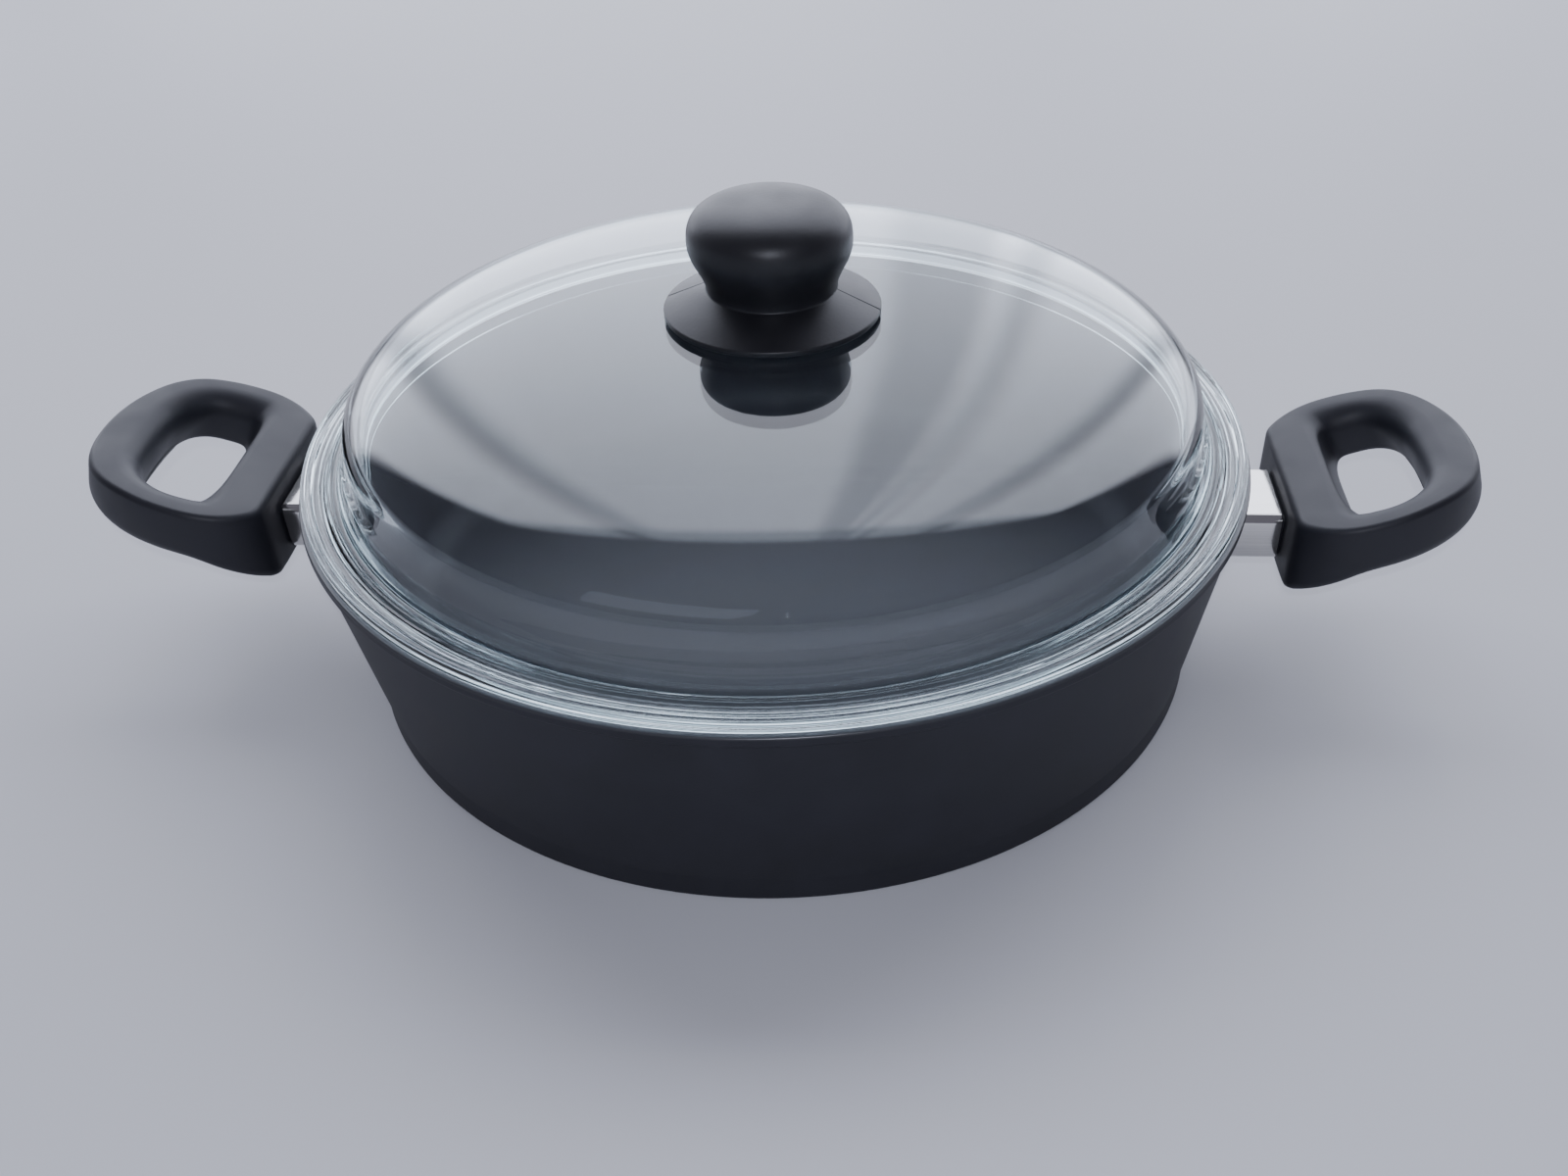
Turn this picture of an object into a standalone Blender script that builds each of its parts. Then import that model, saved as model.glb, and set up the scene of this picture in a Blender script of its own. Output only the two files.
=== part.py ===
"""Serving pan with two D-loop side handles and a domed glass lid.

Metres, +Z up. The origin is under the middle of the pan, on the face that it stands on.
The handles lie along X. The lid lifts straight up off the rim.
"""

import math

import bmesh
import bpy
from mathutils import Vector

# Clearances
FIT_GAP = 0.0003
LUG_CLEARANCE = 0.0007
SEAT_CLEARANCE = 0.0020

# Pan
RIM_RADIUS = 0.1450
PAN_HEIGHT = 0.0690
BASE_RADIUS = 0.1333
FOOT_HEIGHT = 0.0080
WALL = 0.0040
FLOOR = 0.0080
FLOOR_FILLET = 0.0120
BASE_EDGE = 0.0015
RIM_OVERHANG = 0.0016
RIM_DEPTH = 0.0038
RIM_WIDTH = 0.0060
RIM_ROUND_SHARE = 0.30
MOUTH_EDGE = 0.0008
THROAT_ROUND = 0.0020
PAN_STEPS = 72

# Flame guards, and the cast lugs inside them
GUARD_HEIGHT = 0.0426
GUARD_WIDTH = 0.0310
GUARD_DEPTH = 0.0158
GUARD_CORNER = 0.0028
GUARD_SHEET = 0.0010
LUG_EDGE = 0.0010

# Handles
HANDLE_STANDOFF = 0.0128
HANDLE_WIDTH = 0.0790
LOOP_CENTRE = 0.0208
LOOP_AHEAD = 0.0361
LOOP_BEHIND = 0.0281
LOOP_POWER = 2.2
FACE_CORNER = 0.0025
FACE_LEAN = 0.0005
FACE_ABOVE = 0.0044
FACE_BELOW = 0.0071
LOOP_TILT = math.radians(17.9)
TILT_START = -0.0057
LOOP_THICKNESS = 0.0182
LOOP_RISE = 0.0152
HEEL_SLOPE = 0.85
BLEND = 0.0025
LOOP_LEAN = 0.0044
HOLE_CENTRE = 0.0225
HOLE_AHEAD = 0.0128
HOLE_BEHIND = 0.0088
LOOP_SIDE = 0.0129
HOLE_POWER_AHEAD = 2.9
HOLE_POWER_BEHIND = 3.4
HOLE_LEAN = 0.0102
TOP_EDGE = 0.0030
BAR_EDGE = 0.0025
FUNNEL_EDGE = 0.0120
HOLE_FOOT_EDGE = 0.0020
HEEL_EDGE = 0.0085
LOOP_FOOT_EDGE = 0.0045
NOSE_LENGTH = 0.0030
FUNNEL_SPREAD = 1.6
FUNNEL_SHARE = 0.60
HEEL_SPREAD = 2.0
HEEL_SHARE = 0.45
TOP_EDGE_SHARE = 0.35
HOLE_FOOT_SHARE = 0.30
LOOP_STATIONS = 44
OUTER_ARC_STEPS = 3
FUNNEL_ARC_STEPS = 4
HOLE_FOOT_STEPS = 2

# Handle screws
BOLT_RADIUS = 0.0020
BOLT_HEAD_RADIUS = 0.0038
BOLT_HEAD_HEIGHT = 0.0026
BOLT_HEAD_EDGE = 0.0009
BOLT_TIP_EDGE = 0.0007
BOLT_DROP = 0.0025
BOLT_GRIP = 0.0080
BOLT_BITE = 0.0100
SPRING_WASHER = 0.0010
DRIVER_ROOM = 0.0005

# Lid glass
LID_INSET = 0.0013
GLASS = 0.0040
WALL_FOOT_INSET = 0.0119
WALL_FOOT_ROUND = 0.0015
SHOULDER_LEAN = 0.0041
SHOULDER_HEIGHT = 0.0152
DOME_HEIGHT = 0.0420
DOME_POWER = 2.4
LIP_DEPTH = 0.0050
LIP_EDGE = 0.0015
STEP_HEIGHT = 0.0006
STEP_WIDTH = 0.0035
GLASS_EDGE = 0.0016
DOME_POINTS = 9
LID_STEPS = 56

# Knob and its fittings
KNOB_HEIGHT = 0.0330
KNOB_RADIUS = 0.0240
KNOB_BELLY = 0.0211
KNOB_POWER = 2.9
CROWN_POINTS = 8
TAPER_POINTS = 4
NECK_RADIUS = 0.0193
NECK_FOOT = 0.0072
NECK_FILLET = 0.0010
FLANGE_RADIUS = 0.0321
FLANGE_THICKNESS = 0.0016
FLANGE_EDGE = 0.0005
KNOB_WALL = 0.0038
HOLLOW_ROUND = 0.0015
BOSS_RADIUS = 0.0086
BOSS_EDGE = 0.0005
INSERT_RADIUS = 0.0050
INSERT_LENGTH = 0.0120
KNOB_SCREW_RADIUS = 0.0025
KNOB_SCREW_TIP_EDGE = 0.0008
KNOB_SCREW_SHORT = 0.0012
KNOB_SCREW_HEAD = 0.0048
KNOB_SCREW_HEAD_HEIGHT = 0.0028
KNOB_SCREW_HEAD_EDGE = 0.0014
SEAT_WASHER = 0.0010
BUSH_WALL = 0.0016
BUSH_COLLAR_RADIUS = 0.0110
BUSH_COLLAR = 0.0016
CUP_WASHER_RADIUS = 0.0125
CUP_WASHER = 0.0012
FITTING_EDGE = 0.0004
KNOB_STEPS = 36
SMALL_STEPS = 16

# Derived places
RIM_FOOT = PAN_HEIGHT - RIM_DEPTH
WALL_TOP_RADIUS = RIM_RADIUS - RIM_OVERHANG
MOUTH_RADIUS = RIM_RADIUS - RIM_WIDTH
LID_RADIUS = RIM_RADIUS - LID_INSET
LIP_RADIUS = MOUTH_RADIUS - SEAT_CLEARANCE
WALL_FOOT_RADIUS = RIM_RADIUS - WALL_FOOT_INSET
SHOULDER_RADIUS = WALL_FOOT_RADIUS - SHOULDER_LEAN
HANDLE_FACE = RIM_RADIUS + HANDLE_STANDOFF
FACE_TOP = GUARD_HEIGHT + GUARD_DEPTH / 2 + FACE_ABOVE
FACE_BOTTOM = GUARD_HEIGHT - GUARD_DEPTH / 2 - FACE_BELOW
LOOP_END_TOP = FACE_TOP + LOOP_RISE
HOLE_HALF_WIDTH = HANDLE_WIDTH / 2 - LOOP_SIDE
NOSE_END = HANDLE_FACE - NOSE_LENGTH
BOLT_HEIGHT = GUARD_HEIGHT - BOLT_DROP
BOLT_SEAT = HANDLE_FACE + BOLT_GRIP
LID_SEAT = PAN_HEIGHT + FIT_GAP
GLASS_TOP = LID_SEAT + DOME_HEIGHT
GLASS_UNDER = GLASS_TOP - GLASS
BUSH_RADIUS = KNOB_SCREW_RADIUS + FIT_GAP + BUSH_WALL
GLASS_HOLE_RADIUS = BUSH_RADIUS + FIT_GAP
KNOB_SEAT = GLASS_TOP + FIT_GAP
BOSS_FOOT = KNOB_SEAT + SEAT_WASHER + FIT_GAP
COLLAR_TOP = GLASS_UNDER - FIT_GAP
CUP_WASHER_TOP = COLLAR_TOP - BUSH_COLLAR - FIT_GAP
KNOB_SCREW_SEAT = CUP_WASHER_TOP - CUP_WASHER - FIT_GAP

MERGE = 0.00001
ARC_STEP = math.radians(46)
FINE_ROUND = 0.0009
EDGE_SEGMENTS = 2
SHARP_ANGLE = math.radians(40)
QUARTER_TURN = math.radians(90)


def clear_scene():
    """Remove everything, so that a second run gives the same result."""
    for obj in list(bpy.data.objects):
        bpy.data.objects.remove(obj, do_unlink=True)
    for collection in list(bpy.data.collections):
        bpy.data.collections.remove(collection)


def new_collection(name):
    collection = bpy.data.collections.new(name)
    bpy.context.scene.collection.children.link(collection)
    return collection


def material(name, colour, roughness, metallic=0.0, alpha=1.0):
    """A Principled material with a plain colour."""
    made = bpy.data.materials.new(name)
    made.use_nodes = True
    shader = made.node_tree.nodes["Principled BSDF"]
    shader.inputs["Base Color"].default_value = (*colour, 1.0)
    shader.inputs["Roughness"].default_value = roughness
    shader.inputs["Metallic"].default_value = metallic
    shader.inputs["Alpha"].default_value = alpha
    made.diffuse_color = (*colour, alpha)
    return made


def soft_max(first, second, blend):
    """The larger value, with the crease between the two rounded over the blend length."""
    near = max(blend - abs(first - second), 0.0) / blend
    return max(first, second) + near * near * blend / 4


def soft_min(first, second, blend):
    return -soft_max(-first, -second, blend)


def wall_radius(height):
    """Outer radius of the pan's flaring wall."""
    share = (height - FOOT_HEIGHT) / (RIM_FOOT - FOOT_HEIGHT)
    return BASE_RADIUS + (WALL_TOP_RADIUS - BASE_RADIUS) * share


def rounded(corners, closed=False):
    """Points of an outline whose corners, each (across, up, radius), are rounded by arcs.

    A fine round is one chamfer.
    """
    points = []
    last = len(corners) - 1
    for index, (across, up, radius) in enumerate(corners):
        here = Vector((across, up))
        is_end = not closed and index in (0, last)
        if radius == 0 or is_end:
            points.append(here)
            continue
        before = (Vector(corners[index - 1][:2]) - here).normalized()
        after = (Vector(corners[0 if index == last else index + 1][:2]) - here).normalized()
        half = before.angle(after) / 2
        centre = here + (before + after).normalized() * radius / math.sin(half)
        start = here + before * radius / math.tan(half) - centre
        end = here + after * radius / math.tan(half) - centre
        first = math.atan2(start.y, start.x)
        turn = math.remainder(math.atan2(end.y, end.x) - first, math.tau)
        steps = 1 if radius < FINE_ROUND else max(1, math.ceil(abs(turn) / ARC_STEP))
        for step in range(steps + 1):
            angle = first + turn * step / steps
            points.append(centre + radius * Vector((math.cos(angle), math.sin(angle))))
    return points


def add_object(name, mesh, collection, look=None, parent=None):
    obj = bpy.data.objects.new(name, mesh)
    collection.objects.link(obj)
    obj.parent = parent
    if look:
        mesh.materials.append(look)
    return obj


def as_cutter(obj):
    """Mark an object as a tool that is not part of the model."""
    obj.hide_render = True
    obj.display_type = "WIRE"
    return obj


def turned(name, corners, steps, collection, look=None, parent=None, closed=False):
    """A solid turned about Z from its profile, which runs down the outer side."""
    points = rounded(corners, closed)
    edges = [(index, index + 1) for index in range(len(points) - 1)]
    if closed:
        edges.append((len(points) - 1, 0))
    mesh = bpy.data.meshes.new(name)
    mesh.from_pydata([(point.x, 0.0, point.y) for point in points], edges, [])
    obj = add_object(name, mesh, collection, look, parent)
    screw = obj.modifiers.new("turn", "SCREW")
    screw.axis = "Z"
    screw.angle = math.tau
    screw.steps = steps
    screw.render_steps = steps
    screw.use_merge_vertices = True
    screw.merge_threshold = MERGE
    screw.use_smooth_shade = True
    return obj


def boolean(obj, other, operation):
    """Cut or join another object into this one, exactly."""
    modifier = obj.modifiers.new(operation.lower(), "BOOLEAN")
    modifier.operation = operation
    modifier.solver = "EXACT"
    modifier.object = other


def box(name, low, high, edge, collection, look=None, parent=None):
    """A box between two corners, its edges rounded."""
    bm = bmesh.new()
    bmesh.ops.create_cube(bm, size=1.0)
    size = Vector(high) - Vector(low)
    bmesh.ops.scale(bm, vec=size, verts=bm.verts)
    bmesh.ops.translate(bm, vec=(Vector(high) + Vector(low)) / 2, verts=bm.verts)
    mesh = bpy.data.meshes.new(name)
    bm.to_mesh(mesh)
    bm.free()
    obj = add_object(name, mesh, collection, look, parent)
    bevel = obj.modifiers.new("edges", "BEVEL")
    bevel.width = edge
    bevel.segments = EDGE_SEGMENTS
    return obj


def wall_cutter(name, offset, tools):
    """A solid that fills the pan up to its flaring wall, moved outwards by an offset."""
    low = FOOT_HEIGHT
    high = RIM_FOOT
    bm = bmesh.new()
    bmesh.ops.create_cone(
        bm,
        cap_ends=True,
        segments=PAN_STEPS,
        radius1=wall_radius(low) + offset,
        radius2=wall_radius(high) + offset,
        depth=high - low,
    )
    bmesh.ops.translate(bm, vec=(0.0, 0.0, (low + high) / 2), verts=bm.verts)
    mesh = bpy.data.meshes.new(name)
    bm.to_mesh(mesh)
    bm.free()
    return as_cutter(add_object(name, mesh, tools))


def rod_cutter(name, start, end, radius, height, tools, parent):
    """A round cutter that lies along X."""
    bm = bmesh.new()
    bmesh.ops.create_cone(
        bm,
        cap_ends=True,
        segments=SMALL_STEPS,
        radius1=radius,
        radius2=radius,
        depth=end - start,
    )
    mesh = bpy.data.meshes.new(name)
    bm.to_mesh(mesh)
    bm.free()
    obj = as_cutter(add_object(name, mesh, tools, parent=parent))
    obj.rotation_euler = (0.0, QUARTER_TURN, 0.0)
    obj.location = ((start + end) / 2, 0.0, height)
    return obj


def guard_inside():
    """Half width and half height of the room inside a flame guard."""
    return GUARD_WIDTH / 2 - GUARD_SHEET, GUARD_DEPTH / 2 - GUARD_SHEET


def lug(name, core, tools, parent):
    """The cast lug that carries a handle, rooted half way into the wall."""
    half_width, half_height = guard_inside()
    half_width -= LUG_CLEARANCE
    half_height -= LUG_CLEARANCE
    low = (BASE_RADIUS / 2, -half_width, GUARD_HEIGHT - half_height)
    high = (NOSE_END - FIT_GAP, half_width, GUARD_HEIGHT + half_height)
    obj = box(name, low, high, LUG_EDGE, tools, parent=parent)
    boolean(obj, core, "DIFFERENCE")
    return as_cutter(obj)


def pan_body(parts, tools, sides):
    """The cast pan: one wall with a rolled rim, a thick floor and two lugs."""
    inner_foot = BASE_RADIUS - WALL
    rim_round = RIM_DEPTH * RIM_ROUND_SHARE
    corners = [
        (0.0, FLOOR, 0.0),
        (inner_foot, FLOOR, FLOOR_FILLET),
        (MOUTH_RADIUS, RIM_FOOT, THROAT_ROUND),
        (MOUTH_RADIUS, PAN_HEIGHT, MOUTH_EDGE),
        (RIM_RADIUS, PAN_HEIGHT, rim_round),
        (RIM_RADIUS, RIM_FOOT, rim_round),
        (WALL_TOP_RADIUS, RIM_FOOT, 0.0),
        (BASE_RADIUS, FOOT_HEIGHT, 0.0),
        (BASE_RADIUS, 0.0, BASE_EDGE),
        (0.0, 0.0, 0.0),
    ]
    look = material("nonstick_black", (0.018, 0.018, 0.020), 0.45)
    obj = turned("pan_body", corners, PAN_STEPS, parts, look)
    core = wall_cutter("lug_root_cutter", -WALL / 2, tools)
    for side, empty in sides.items():
        boolean(obj, lug(f"{side}_lug", core, tools, empty), "UNION")
    for side, empty in sides.items():
        start = NOSE_END - FIT_GAP - BOLT_BITE
        end = NOSE_END + NOSE_LENGTH
        hole = rod_cutter(
            f"{side}_thread_cutter", start, end, BOLT_RADIUS + FIT_GAP, BOLT_HEIGHT, tools, empty
        )
        boolean(obj, hole, "DIFFERENCE")
    return obj


def outline_curve(name, outlines, half_length, tools):
    """A flat shape of one or more closed outlines, extruded both ways."""
    curve = bpy.data.curves.new(name, "CURVE")
    curve.dimensions = "2D"
    curve.fill_mode = "BOTH"
    curve.extrude = half_length
    for outline in outlines:
        spline = curve.splines.new("POLY")
        spline.points.add(len(outline) - 1)
        for point, place in zip(spline.points, outline):
            point.co = (place.x, place.y, 0.0, 1.0)
        spline.use_cyclic_u = True
    obj = bpy.data.objects.new(name, curve)
    tools.objects.link(obj)
    return obj


def curve_to_mesh(obj):
    """The closed mesh of a curve object, which is removed."""
    bpy.context.view_layer.update()
    evaluated = obj.evaluated_get(bpy.context.evaluated_depsgraph_get())
    mesh = bpy.data.meshes.new_from_object(evaluated)
    bm = bmesh.new()
    bm.from_mesh(mesh)
    bmesh.ops.remove_doubles(bm, verts=bm.verts, dist=MERGE)
    bm.to_mesh(mesh)
    bm.free()
    bpy.data.objects.remove(obj, do_unlink=True)
    return mesh


def guard_outline(inset):
    """The guard's rounded rectangle, moved inwards by an inset."""
    half_width = GUARD_WIDTH / 2 - inset
    half_height = GUARD_DEPTH / 2 - inset
    radius = GUARD_CORNER - inset
    corners = [
        (-half_height, -half_width, radius),
        (half_height, -half_width, radius),
        (half_height, half_width, radius),
        (-half_height, half_width, radius),
    ]
    return rounded(corners, closed=True)


def flame_guard(side, empty, parts, tools, core):
    """The polished sleeve between the wall and the handle, its end cut to the wall's curve."""
    start = BASE_RADIUS / 2
    end = HANDLE_FACE - FIT_GAP
    name = f"{side}_flame_guard"
    outlines = [guard_outline(0.0), guard_outline(GUARD_SHEET)]
    mesh = curve_to_mesh(outline_curve(name, outlines, (end - start) / 2, tools))
    mesh.name = name
    look = material(f"{side}_polished_steel", (0.80, 0.80, 0.79), 0.14, 1.0)
    obj = add_object(name, mesh, parts, look, empty)
    obj.rotation_euler = (0.0, QUARTER_TURN, 0.0)
    obj.location = ((start + end) / 2, 0.0, GUARD_HEIGHT)
    boolean(obj, core, "DIFFERENCE")
    return obj


def egg(angle, centre, ahead, behind, half_width, power_ahead, power_behind):
    """A point on an egg-shaped outline, whose two halves differ in length and squareness."""
    cosine = math.cos(angle)
    sine = math.sin(angle)
    length = ahead if cosine > 0 else behind
    power = 2 / (power_ahead if cosine > 0 else power_behind)
    along = math.copysign(abs(cosine) ** power, cosine)
    across = math.copysign(abs(sine) ** power, sine)
    return Vector((centre + length * along, half_width * across))


def loop_top(along):
    """Height of the handle's top face: level at the pan, then tilted up, then level at the end."""
    rise = (along - HANDLE_FACE - TILT_START) * math.tan(LOOP_TILT)
    return soft_min(soft_max(FACE_TOP, FACE_TOP + rise, BLEND), LOOP_END_TOP, BLEND)


def loop_bottom(along):
    """Height of the handle's underside: a steep heel by the pan, then a face along the tilt."""
    rise = (along - HANDLE_FACE - TILT_START) * math.tan(LOOP_TILT)
    heel = FACE_BOTTOM + (along - HANDLE_FACE) * HEEL_SLOPE
    return soft_min(heel, FACE_TOP + rise - LOOP_THICKNESS, BLEND)


def outer_point(angle, lean, face):
    """The handle's outer outline, flattened where it faces the pan."""
    half_width = HANDLE_WIDTH / 2
    point = egg(
        angle, LOOP_CENTRE, LOOP_AHEAD, LOOP_BEHIND, half_width, LOOP_POWER, LOOP_POWER
    )
    shift = lean * (1 + math.cos(angle)) / 2
    point.x = HANDLE_FACE + soft_max(point.x + shift, face, FACE_CORNER)
    return point


def hole_point(angle, lean):
    """The finger hole's outline."""
    point = egg(
        angle,
        HOLE_CENTRE + lean,
        HOLE_AHEAD,
        HOLE_BEHIND,
        HOLE_HALF_WIDTH,
        HOLE_POWER_AHEAD,
        HOLE_POWER_BEHIND,
    )
    point.x += HANDLE_FACE
    return point


def corner_arc(across, up, width, height, first, steps):
    """Points, in shares of a section's width and height, of the arc that rounds one corner."""
    centre_across = width if across == 0 else 1 - width
    centre_up = height if up == 0 else 1 - height
    for step in range(steps + 1):
        angle = first - QUARTER_TURN * step / steps
        yield centre_across + width * math.cos(angle), centre_up + height * math.sin(angle)


def loop_section(angle):
    """One rounded cross-section of the handle's loop, from its outer foot round over the top."""
    top_outer = outer_point(angle, 0.0, FACE_LEAN)
    foot_outer = outer_point(angle, LOOP_LEAN, 0.0)
    top_hole = hole_point(angle, 0.0)
    foot_hole = hole_point(angle, HOLE_LEAN)
    width = (top_outer - top_hole).length
    height = loop_top(top_outer.x) - loop_bottom(foot_outer.x)
    outwards = (1 + math.cos(angle)) / 2
    funnel = BAR_EDGE + (FUNNEL_EDGE - BAR_EDGE) * min(1.0, outwards * FUNNEL_SPREAD)
    funnel = min(funnel, width * FUNNEL_SHARE)
    heel = HEEL_EDGE + (LOOP_FOOT_EDGE - HEEL_EDGE) * min(1.0, outwards * HEEL_SPREAD)
    heel = min(heel, width * HEEL_SHARE)
    top_edge = min(TOP_EDGE, width * TOP_EDGE_SHARE)
    foot_edge = min(HOLE_FOOT_EDGE, width * HOLE_FOOT_SHARE)
    shares = [
        *corner_arc(0, 0, heel / width, heel / height, 3 * QUARTER_TURN, OUTER_ARC_STEPS),
        *corner_arc(0, 1, top_edge / width, top_edge / height, 2 * QUARTER_TURN, OUTER_ARC_STEPS),
        *corner_arc(1, 1, funnel / width, funnel / height, QUARTER_TURN, FUNNEL_ARC_STEPS),
        *corner_arc(1, 0, foot_edge / width, foot_edge / height, 0.0, HOLE_FOOT_STEPS),
    ]
    points = []
    for across, up in shares:
        outer = foot_outer.lerp(top_outer, up)
        hole = foot_hole.lerp(top_hole, up)
        plan = outer.lerp(hole, across)
        bottom = loop_bottom(plan.x)
        points.append((plan.x, plan.y, bottom + (loop_top(plan.x) - bottom) * up))
    return points


def loop_mesh(name):
    """The D loop: a loft of rounded sections that change all the way round the finger hole."""
    sections = [loop_section(math.tau * index / LOOP_STATIONS) for index in range(LOOP_STATIONS)]
    per_section = len(sections[0])
    verts = [point for section in sections for point in section]
    faces = []
    for station in range(LOOP_STATIONS):
        here = station * per_section
        there = (station + 1) % LOOP_STATIONS * per_section
        for index in range(per_section):
            following = (index + 1) % per_section
            faces.append((here + index, there + index, there + following, here + following))
    mesh = bpy.data.meshes.new(name)
    mesh.from_pydata(verts, [], faces)
    mesh.shade_smooth()
    return mesh


def handle(side, empty, parts, tools):
    """A moulded handle: the D loop, a nose that plugs into the guard, and the bolt's way in."""
    name = f"{side}_handle"
    look = material(f"{side}_phenolic", (0.045, 0.046, 0.055), 0.42)
    obj = add_object(name, loop_mesh(name), parts, look, empty)
    half_width, half_height = guard_inside()
    half_width -= FIT_GAP
    half_height -= FIT_GAP
    low = (NOSE_END, -half_width, GUARD_HEIGHT - half_height)
    high = (HANDLE_FACE + BOLT_GRIP / 2, half_width, GUARD_HEIGHT + half_height)
    nose = as_cutter(box(f"{side}_nose", low, high, LUG_EDGE, tools, parent=empty))
    boolean(obj, nose, "UNION")
    beyond = HANDLE_FACE + LOOP_CENTRE + LOOP_AHEAD
    hole = rod_cutter(
        f"{side}_bolt_hole_cutter",
        NOSE_END - NOSE_LENGTH,
        BOLT_SEAT + NOSE_LENGTH,
        BOLT_RADIUS + FIT_GAP,
        BOLT_HEIGHT,
        tools,
        empty,
    )
    boolean(obj, hole, "DIFFERENCE")
    recess = rod_cutter(
        f"{side}_recess_cutter",
        BOLT_SEAT,
        beyond,
        BOLT_HEAD_RADIUS + DRIVER_ROOM,
        BOLT_HEIGHT,
        tools,
        empty,
    )
    boolean(obj, recess, "DIFFERENCE")
    return obj


def lay_along_x(obj, start, height):
    """Turn a piece that was turned about Z so that its top points out along X."""
    obj.rotation_euler = (0.0, QUARTER_TURN, 0.0)
    obj.location = (start, 0.0, height)


def handle_screw(side, empty, parts):
    """The pan-head screw that pulls a handle onto its lug."""
    washer_stack = SPRING_WASHER + 2 * FIT_GAP
    tip = NOSE_END - BOLT_BITE - BOLT_SEAT
    corners = [
        (0.0, washer_stack + BOLT_HEAD_HEIGHT, 0.0),
        (BOLT_HEAD_RADIUS, washer_stack + BOLT_HEAD_HEIGHT, BOLT_HEAD_EDGE),
        (BOLT_HEAD_RADIUS, washer_stack, 0.0),
        (BOLT_RADIUS, washer_stack, 0.0),
        (BOLT_RADIUS, tip, BOLT_TIP_EDGE),
        (0.0, tip, 0.0),
    ]
    look = material(f"{side}_screw_steel", (0.60, 0.60, 0.60), 0.32, 1.0)
    obj = turned(f"{side}_handle_screw", corners, SMALL_STEPS, parts, look, empty)
    lay_along_x(obj, BOLT_SEAT, BOLT_HEIGHT)
    return obj


def screw_washer(side, empty, parts):
    """The washer under a handle screw's head."""
    inner = BOLT_RADIUS + FIT_GAP
    corners = [
        (inner, FIT_GAP + SPRING_WASHER, 0.0),
        (BOLT_HEAD_RADIUS, FIT_GAP + SPRING_WASHER, 0.0),
        (BOLT_HEAD_RADIUS, FIT_GAP, 0.0),
        (inner, FIT_GAP, 0.0),
    ]
    look = material(f"{side}_washer_steel", (0.55, 0.55, 0.55), 0.35, 1.0)
    obj = turned(f"{side}_screw_washer", corners, SMALL_STEPS, parts, look, empty, closed=True)
    lay_along_x(obj, BOLT_SEAT, BOLT_HEIGHT)
    return obj


def dome(radius, rise, from_radius):
    """A flat-topped dome's line, from near its middle out to its shoulder."""
    start = math.acos((from_radius / radius) ** (DOME_POWER / 2))
    for step in range(DOME_POINTS):
        angle = start * (1 - step / DOME_POINTS)
        across = radius * math.cos(angle) ** (2 / DOME_POWER)
        yield across, rise * math.sin(angle) ** (2 / DOME_POWER), 0.0


def lid_glass(parts, lid):
    """The pressed glass: a deep dome, a stepped flange on the rim and a lip inside the mouth."""
    inner_shoulder = SHOULDER_RADIUS - GLASS
    rise = DOME_HEIGHT - SHOULDER_HEIGHT
    outside = [
        (across, SHOULDER_HEIGHT + up, radius)
        for across, up, radius in dome(SHOULDER_RADIUS, rise, GLASS_HOLE_RADIUS)
    ]
    inside = [
        (across, SHOULDER_HEIGHT + up, radius)
        for across, up, radius in dome(inner_shoulder, rise - GLASS, GLASS_HOLE_RADIUS)
    ]
    first_step = WALL_FOOT_RADIUS + STEP_WIDTH
    second_step = first_step + STEP_WIDTH
    flange = [
        (SHOULDER_RADIUS, SHOULDER_HEIGHT, 0.0),
        (WALL_FOOT_RADIUS, GLASS, WALL_FOOT_ROUND),
        (first_step, GLASS, 0.0),
        (first_step + STEP_HEIGHT, GLASS - STEP_HEIGHT, 0.0),
        (second_step, GLASS - STEP_HEIGHT, 0.0),
        (second_step + STEP_HEIGHT, GLASS, 0.0),
        (LID_RADIUS, GLASS, GLASS_EDGE),
        (LID_RADIUS, 0.0, GLASS_EDGE),
        (LIP_RADIUS, 0.0, 0.0),
        (LIP_RADIUS, -LIP_DEPTH, LIP_EDGE),
        (LIP_RADIUS - GLASS, -LIP_DEPTH, LIP_EDGE),
        (inner_shoulder, SHOULDER_HEIGHT, 0.0),
    ]
    corners = outside + flange + inside[::-1]
    look = material("clear_glass", (0.86, 0.95, 0.97), 0.03, alpha=0.35)
    obj = turned("lid_glass", corners, LID_STEPS, parts, look, lid, closed=True)
    obj.location.z = LID_SEAT - PAN_HEIGHT
    return obj


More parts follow.
